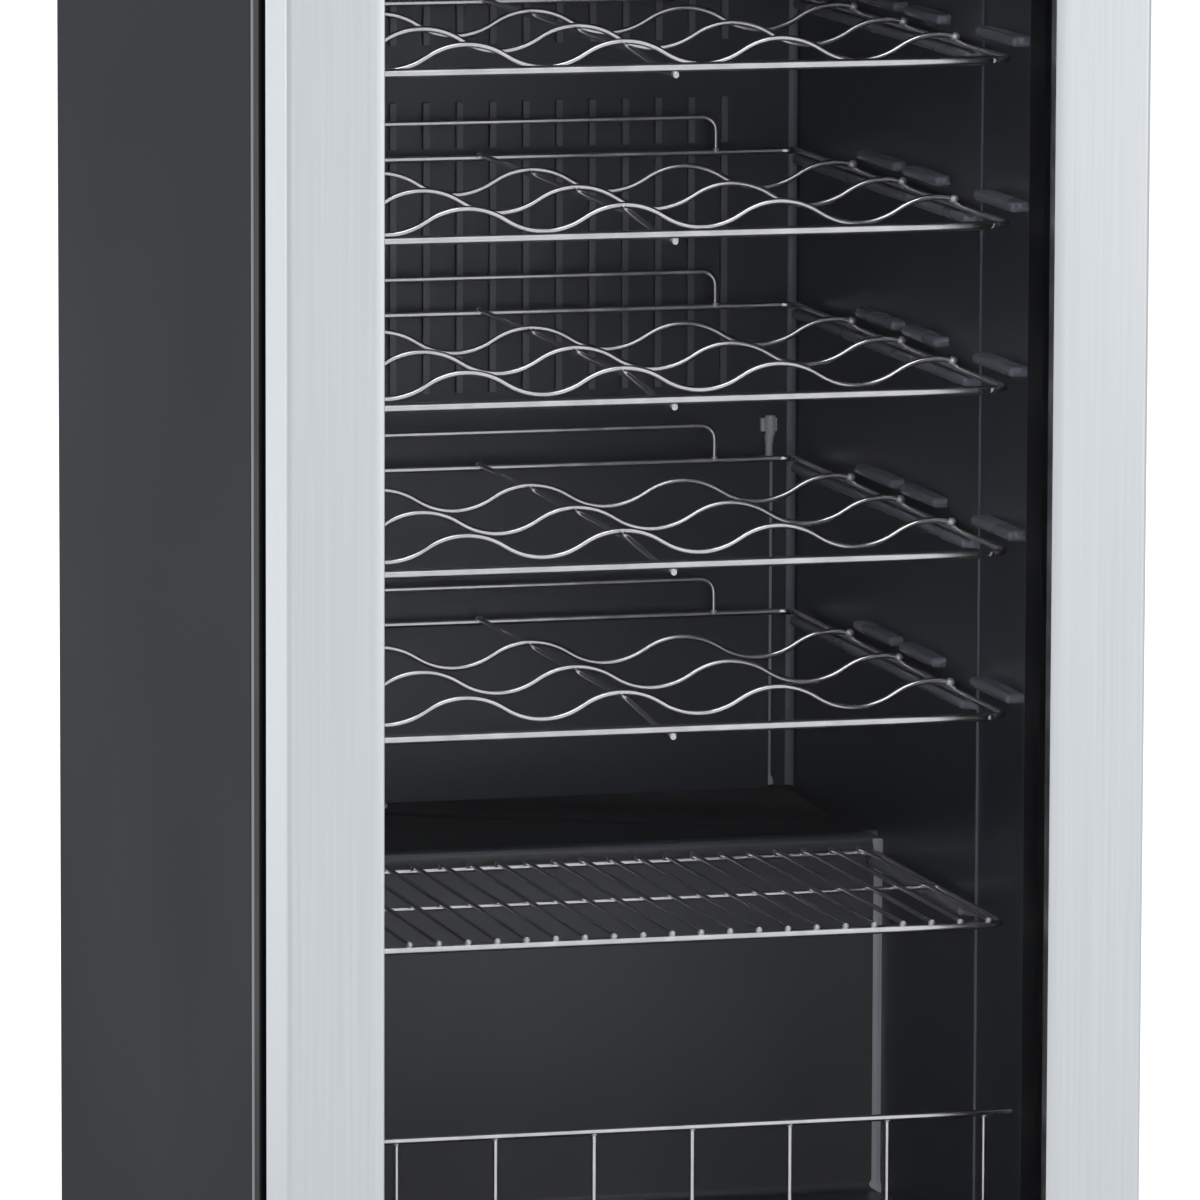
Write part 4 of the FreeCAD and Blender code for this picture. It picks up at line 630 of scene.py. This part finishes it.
def door_seal(materials):
    """Magnetic gasket: a soft foot on the door, a folded bellows, and a flat head on the cabinet."""
    low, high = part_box("door_gasket")
    deep = high.y - low.y
    profile = [(across * SEAL_WIDTH, back * deep) for across, back in SEAL_SECTION]
    bm = bmesh.new()
    mitred_members(bm, profile, low, high, low.y)
    bmesh.ops.remove_doubles(bm, verts=bm.verts, dist=0.001 * MM)
    finish_piece("door_seal", bm, (materials["rubber"], materials["rubber"]), "door",
                 ("door_gasket",), 60)


# ---- cabinet -------------------------------------------------------------------------------------
HUMP_WALL = 35.5 * MM
BULKHEAD_SHEET = 1.5 * MM
LINER_LIP = 3.5 * MM
LINER_SHEET = 2 * MM
GUIDE_REACH = 12 * MM
GUIDE_TIP = 8 * MM
GUIDE_FOOT = 1 * MM
GUIDE_FACE = 0.002
GUIDE_ROUND = 2.8 * MM
CORNER_ROUND = 6 * MM
CORNER_HEIGHT = 100 * MM
CORNER_WIDTH = 300 * MM
ON_PLANE = 0.1 * MM
ON_FACE = 0.5 * MM
TRIM_ROUND = 1.6 * MM
SEAT_SHARE = 0.62
COVER_ROUND = 0.9 * MM
RIB_FACE = 0.6 * MM
EDGE_BAND = 1.6 * MM
BEAD_SIZE = 4.2 * MM
BEAD_HOLLOW = 0.42
BEAD_STEPS = 6
LEAD_RADIUS = 2.3 * MM
LEAD_SIDES = 16
LEAD_ABOVE_BULKHEAD = 35.5 * MM


def hump_faces():
    """Where the front and the top of the liner's step lie."""
    low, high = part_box("compressor_bulkhead")
    return low.y - HUMP_WALL, high.z + HUMP_WALL - BULKHEAD_SHEET


def liner(materials):
    """Vacuum-formed liner: rounded guides and lugs, and large soft corners at its back and step."""
    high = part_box("inner_liner")[1]
    wall = high.x - LINER_LIP
    back = high.y - LINER_SHEET
    hump_front, hump_top = hump_faces()
    bm = welded_copy("inner_liner")

    def on_guide(edge):
        beyond_wall = all(abs(v.co.x) > wall - GUIDE_REACH for v in edge.verts)
        return beyond_wall and any(abs(v.co.x) < wall - GUIDE_TIP for v in edge.verts)

    def on_corner(edge):
        start, end = (v.co for v in edge.verts)
        inside = all(abs(p.x) < wall + ON_PLANE and p.y < back + ON_PLANE for p in (start, end))
        at_back = all(abs(p.y - back) < ON_PLANE for p in (start, end))
        at_hump = all(abs(p.y - hump_front) < ON_PLANE for p in (start, end))
        upright = abs(start.z - end.z) > CORNER_HEIGHT
        across = abs(start.x - end.x) > CORNER_WIDTH
        return inside and ((at_back and upright) or (at_hump and across))

    bevel(bm, sharp_edges(bm, on_guide), GUIDE_ROUND, 4)
    bevel(bm, sharp_edges(bm, on_corner), CORNER_ROUND, 5)
    for face in bm.faces:
        middle = face.calc_center_median()
        # small faces on the guides and lugs take the lighter grey, a painted highlight
        if wall - GUIDE_REACH < abs(middle.x) < wall - GUIDE_FOOT and face.calc_area() < GUIDE_FACE:
            face.material_index = 1
        # the step's front faces take the lighter grey, a painted reflection
        elif abs(middle.y - hump_front) < ON_FACE and face.normal.y < -0.9:
            face.material_index = 2
        # the step's top faces take the darker black, painted shade
        elif abs(middle.z - hump_top) < ON_FACE:
            face.material_index = 3
    finishes = [materials[name] for name in ("liner", "guide", "hump", "hump_top")]
    finish_piece("liner_shell", bm, finishes, "cabinet", ("inner_liner",), 50)


def trim(materials):
    """Grey breaker strip round the cavity, its grey partly its own colour and partly a painted highlight of
    the cabinet's rounded front edge. Its front part, by the door seal, is black.
    """
    bm = welded_copy("front_trim")
    bevel(bm, sharp_edges(bm), TRIM_ROUND, 3)
    low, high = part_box("front_trim")
    seat = low.y + SEAT_SHARE * (high.y - low.y)
    bmesh.ops.bisect_plane(bm, geom=bm.verts[:] + bm.edges[:] + bm.faces[:], plane_co=(0, seat, 0),
                           plane_no=(0, 1, 0))
    for face in bm.faces:
        if face.calc_center_median().y < seat:
            face.material_index = 1
    finish_piece("trim_ring", bm, (materials["trim"], materials["black"]), "cabinet",
                 ("front_trim",))


# node, material, width of the rounding in mm, its segments
ROUNDED_NODES = (
    ("outer_cabinet", "paint", 0.45, 2),
    ("back_panel", "zinc", 0.4, 2),
    ("base_plate", "zinc", 0.5, 2),
    ("compressor_bulkhead", "paint", 0.5, 2),
    ("fan_housing", "liner", 0.7, 2),
    ("control_housing", "liner", 1.6, 3),
    ("control_panel", "panel", 0.5, 2),
    ("display_window", "panel", 0.6, 2),
    ("light_lens", "milky", 1.2, 3),
    ("hinge_cover", "black", 1.4, 3),
    ("top_hinge_bracket", "paint", 0.6, 2),
    ("bottom_hinge_bracket", "paint", 0.6, 2),
    ("door_inner_frame", "black", 0.7, 2),
    ("door_grip", "black", 0.8, 2),
    ("glass_spacer", "aluminium", 0.6, 2),
    ("terminal_box", "black", 2.0, 3),
    ("evaporation_tray", "black", 1.0, 2),
    ("condenser_brackets", "black", 0.5, 2),
    ("circuit_boards", "board", 0.3, 1),
    ("evaporator", "aluminium", 0.4, 1),
)


def rounded_nodes(materials):
    for node, material, width, segments in ROUNDED_NODES:
        rounded(node, materials[material], width * MM, segments)


def duct_cover(materials):
    """The rounded duct cover, with its ribs and its two upright edges in a lighter grey: a painted highlight.
    """
    low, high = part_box("air_duct_cover")
    cover = rounded("air_duct_cover", materials["liner"], COVER_ROUND, 2)
    cover.data.materials.append(materials["rib"])
    for face in cover.data.polygons:
        on_rib = face.center.y < low.y + RIB_FACE
        on_edge = abs(face.center.x) > high.x - EDGE_BAND and face.center.y < high.y - EDGE_BAND
        if on_rib or on_edge:
            face.material_index = 1


def bead_ring(bm, corner, side, size, z):
    """Points of a hollow quarter round, at one height, from its corner on."""
    wall, front = corner
    ring = [bm.verts.new((side * wall, front, z))]
    for i in range(BEAD_STEPS + 1):
        turn = math.pi / 2 * i / BEAD_STEPS
        reach = size * (1 - BEAD_HOLLOW * math.sin(2 * turn))
        x = wall - reach * math.cos(turn)
        y = front - reach * math.sin(turn)
        ring.append(bm.verts.new((side * x, y, z)))
    return ring


def hump_beads(materials):
    """Pale beads in the upright corners where the front of the liner's step meets the side walls: a painted
    highlight along those corners.
    """
    low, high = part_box("inner_liner")
    front, hump_top = hump_faces()
    corner = (high.x - LINER_LIP, front)
    foot = low.z + LINER_SHEET
    top = hump_top - BEAD_SIZE
    heights = (foot, foot + 4 * MM, foot + 7 * MM, top - 6 * MM, top)
    swells = (1.6, 1.5, 1.0, 1.0, 1.2)
    bm = bmesh.new()
    for side in (-1, 1):
        loft(bm, [bead_ring(bm, corner, side, BEAD_SIZE * swell, z) for z, swell in zip(heights, swells)])
    finish_piece("hump_beads", bm, (materials["sleeve"],), "cabinet")


def lead_ring(bm, x, back, radius, z):
    """A circle of points, at one height, that touches the plane at back."""
    ring = []
    for i in range(LEAD_SIDES):
        turn = 2 * math.pi * i / LEAD_SIDES
        place = (x + radius * math.cos(turn), back - radius + radius * math.sin(turn), z)
        ring.append(bm.verts.new(place))
    return ring


def sensor_lead(materials):
    """Thin sleeve that carries the sensor's lead down the back wall to the liner's step."""
    low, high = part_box("temperature_sensor")
    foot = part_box("compressor_bulkhead")[1].z + LEAD_ABOVE_BULKHEAD
    middle = (low.x + high.x) / 2
    heights = (foot, foot + 3 * MM, foot + 6 * MM, low.z - 6 * MM, low.z - 3 * MM, low.z)
    swells = (1.5, 1.5, 1.0, 1.0, 1.25, 1.25)
    bm = bmesh.new()
    loft(bm, [lead_ring(bm, middle, high.y, LEAD_RADIUS * swell, z) for z, swell in zip(heights, swells)])
    finish_piece("sensor_lead", bm, (materials["sleeve"],), "cabinet")


# ---- welds on the wire goods ---------------------------------------------------------------------
RACKS = ["wine_rack_%d" % i for i in range(1, 8)]
RAIL_RADIUS = 2.75 * MM
LOOP_RADIUS = 2.0 * MM
RAIL_LEVEL = 10.3 * MM
REAR_PLACE = 148 * MM
WAVE_PLACES = (108 * MM, 211 * MM, 314 * MM)
SHELF_PITCH = 17.2 * MM
SHELF_WIRES = range(-11, 12)
FENCE_PITCH = 58.3 * MM
FENCE_POSTS = 7
FENCE_END = 16.5 * MM
WELD_SWELL = 0.06
WELD_SQUASH = 0.8
WELD_SMOOTH = 80
RACK_SEED = 7
SHELF_SEED = 11
FENCE_SEED = 13


def bead(bm, place, radius, rng):
    """One small weld: a squashed ball with an uneven skin."""
    made = bmesh.ops.create_icosphere(bm, subdivisions=2, radius=radius)
    for vert in made["verts"]:
        x, y, z = vert.co
        swell = 1 + rng.uniform(-WELD_SWELL, WELD_SWELL)
        vert.co = Vector(place) + Vector((x * swell, y * swell, z * WELD_SQUASH * swell))


def finish_welds(name, bm, materials, body):
    finish_piece(name, bm, (materials["weld"],), body, (), WELD_SMOOTH)


def rack_welds(materials):
    rng = random.Random(RACK_SEED)
    for number, rack in enumerate(RACKS, 1):
        low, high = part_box(rack)
        front = low.y + RAIL_RADIUS
        level = low.z + RAIL_LEVEL
        rail_x = high.x - LOOP_RADIUS
        rear = high.y - LOOP_RADIUS
        bm = bmesh.new()
        for side in (-1, 1):
            for along in WAVE_PLACES:
                bead(bm, (side * (rail_x - 0.8 * MM), front + along, level + 4.0 * MM), 3.1 * MM, rng)
            bead(bm, (side * (rail_x - 11 * MM), front, level), 3.0 * MM, rng)
            bead(bm, (side * REAR_PLACE, rear, level + 1.5 * MM), 2.4 * MM, rng)
        bead(bm, (0, front + 0.5 * MM, level - 3.4 * MM), 2.3 * MM, rng)
        bead(bm, (0, rear, level + 2.2 * MM), 2.3 * MM, rng)
        finish_welds("rack_welds_%d" % number, bm, materials, "rack_%d" % number)


def shelf_welds(materials):
    rng = random.Random(SHELF_SEED)
    low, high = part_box("flat_shelf")
    bm = bmesh.new()
    for i in SHELF_WIRES:
        bead(bm, (i * SHELF_PITCH, low.y + 1.6 * MM, high.z - 1.7 * MM), 1.9 * MM, rng)
        bead(bm, (i * SHELF_PITCH, high.y - 1.8 * MM, high.z - 1.7 * MM), 1.7 * MM, rng)
    finish_welds("shelf_welds", bm, materials, "shelf")


def fence_welds(materials):
    rng = random.Random(FENCE_SEED)
    low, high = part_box("bottle_fence")
    right = high.x - FENCE_END
    bm = bmesh.new()
    for x in [right - FENCE_PITCH * i for i in range(FENCE_POSTS)] + [-right]:
        bead(bm, (x, low.y + 2 * MM, high.z - 3.4 * MM), 1.9 * MM, rng)
        bead(bm, (x, low.y + 2 * MM, low.z + 1.8 * MM), 1.7 * MM, rng)
    finish_welds("fence_welds", bm, materials, "cabinet")


def main():
    make_camera()
    make_studio()
    materials = make_materials()
    dress_nodes(materials)
    rounded_nodes(materials)
    liner(materials)
    trim(materials)
    duct_cover(materials)
    hump_beads(materials)
    sensor_lead(materials)
    rack_welds(materials)
    shelf_welds(materials)
    fence_welds(materials)
    door_skin(materials)
    door_seal(materials)


main()
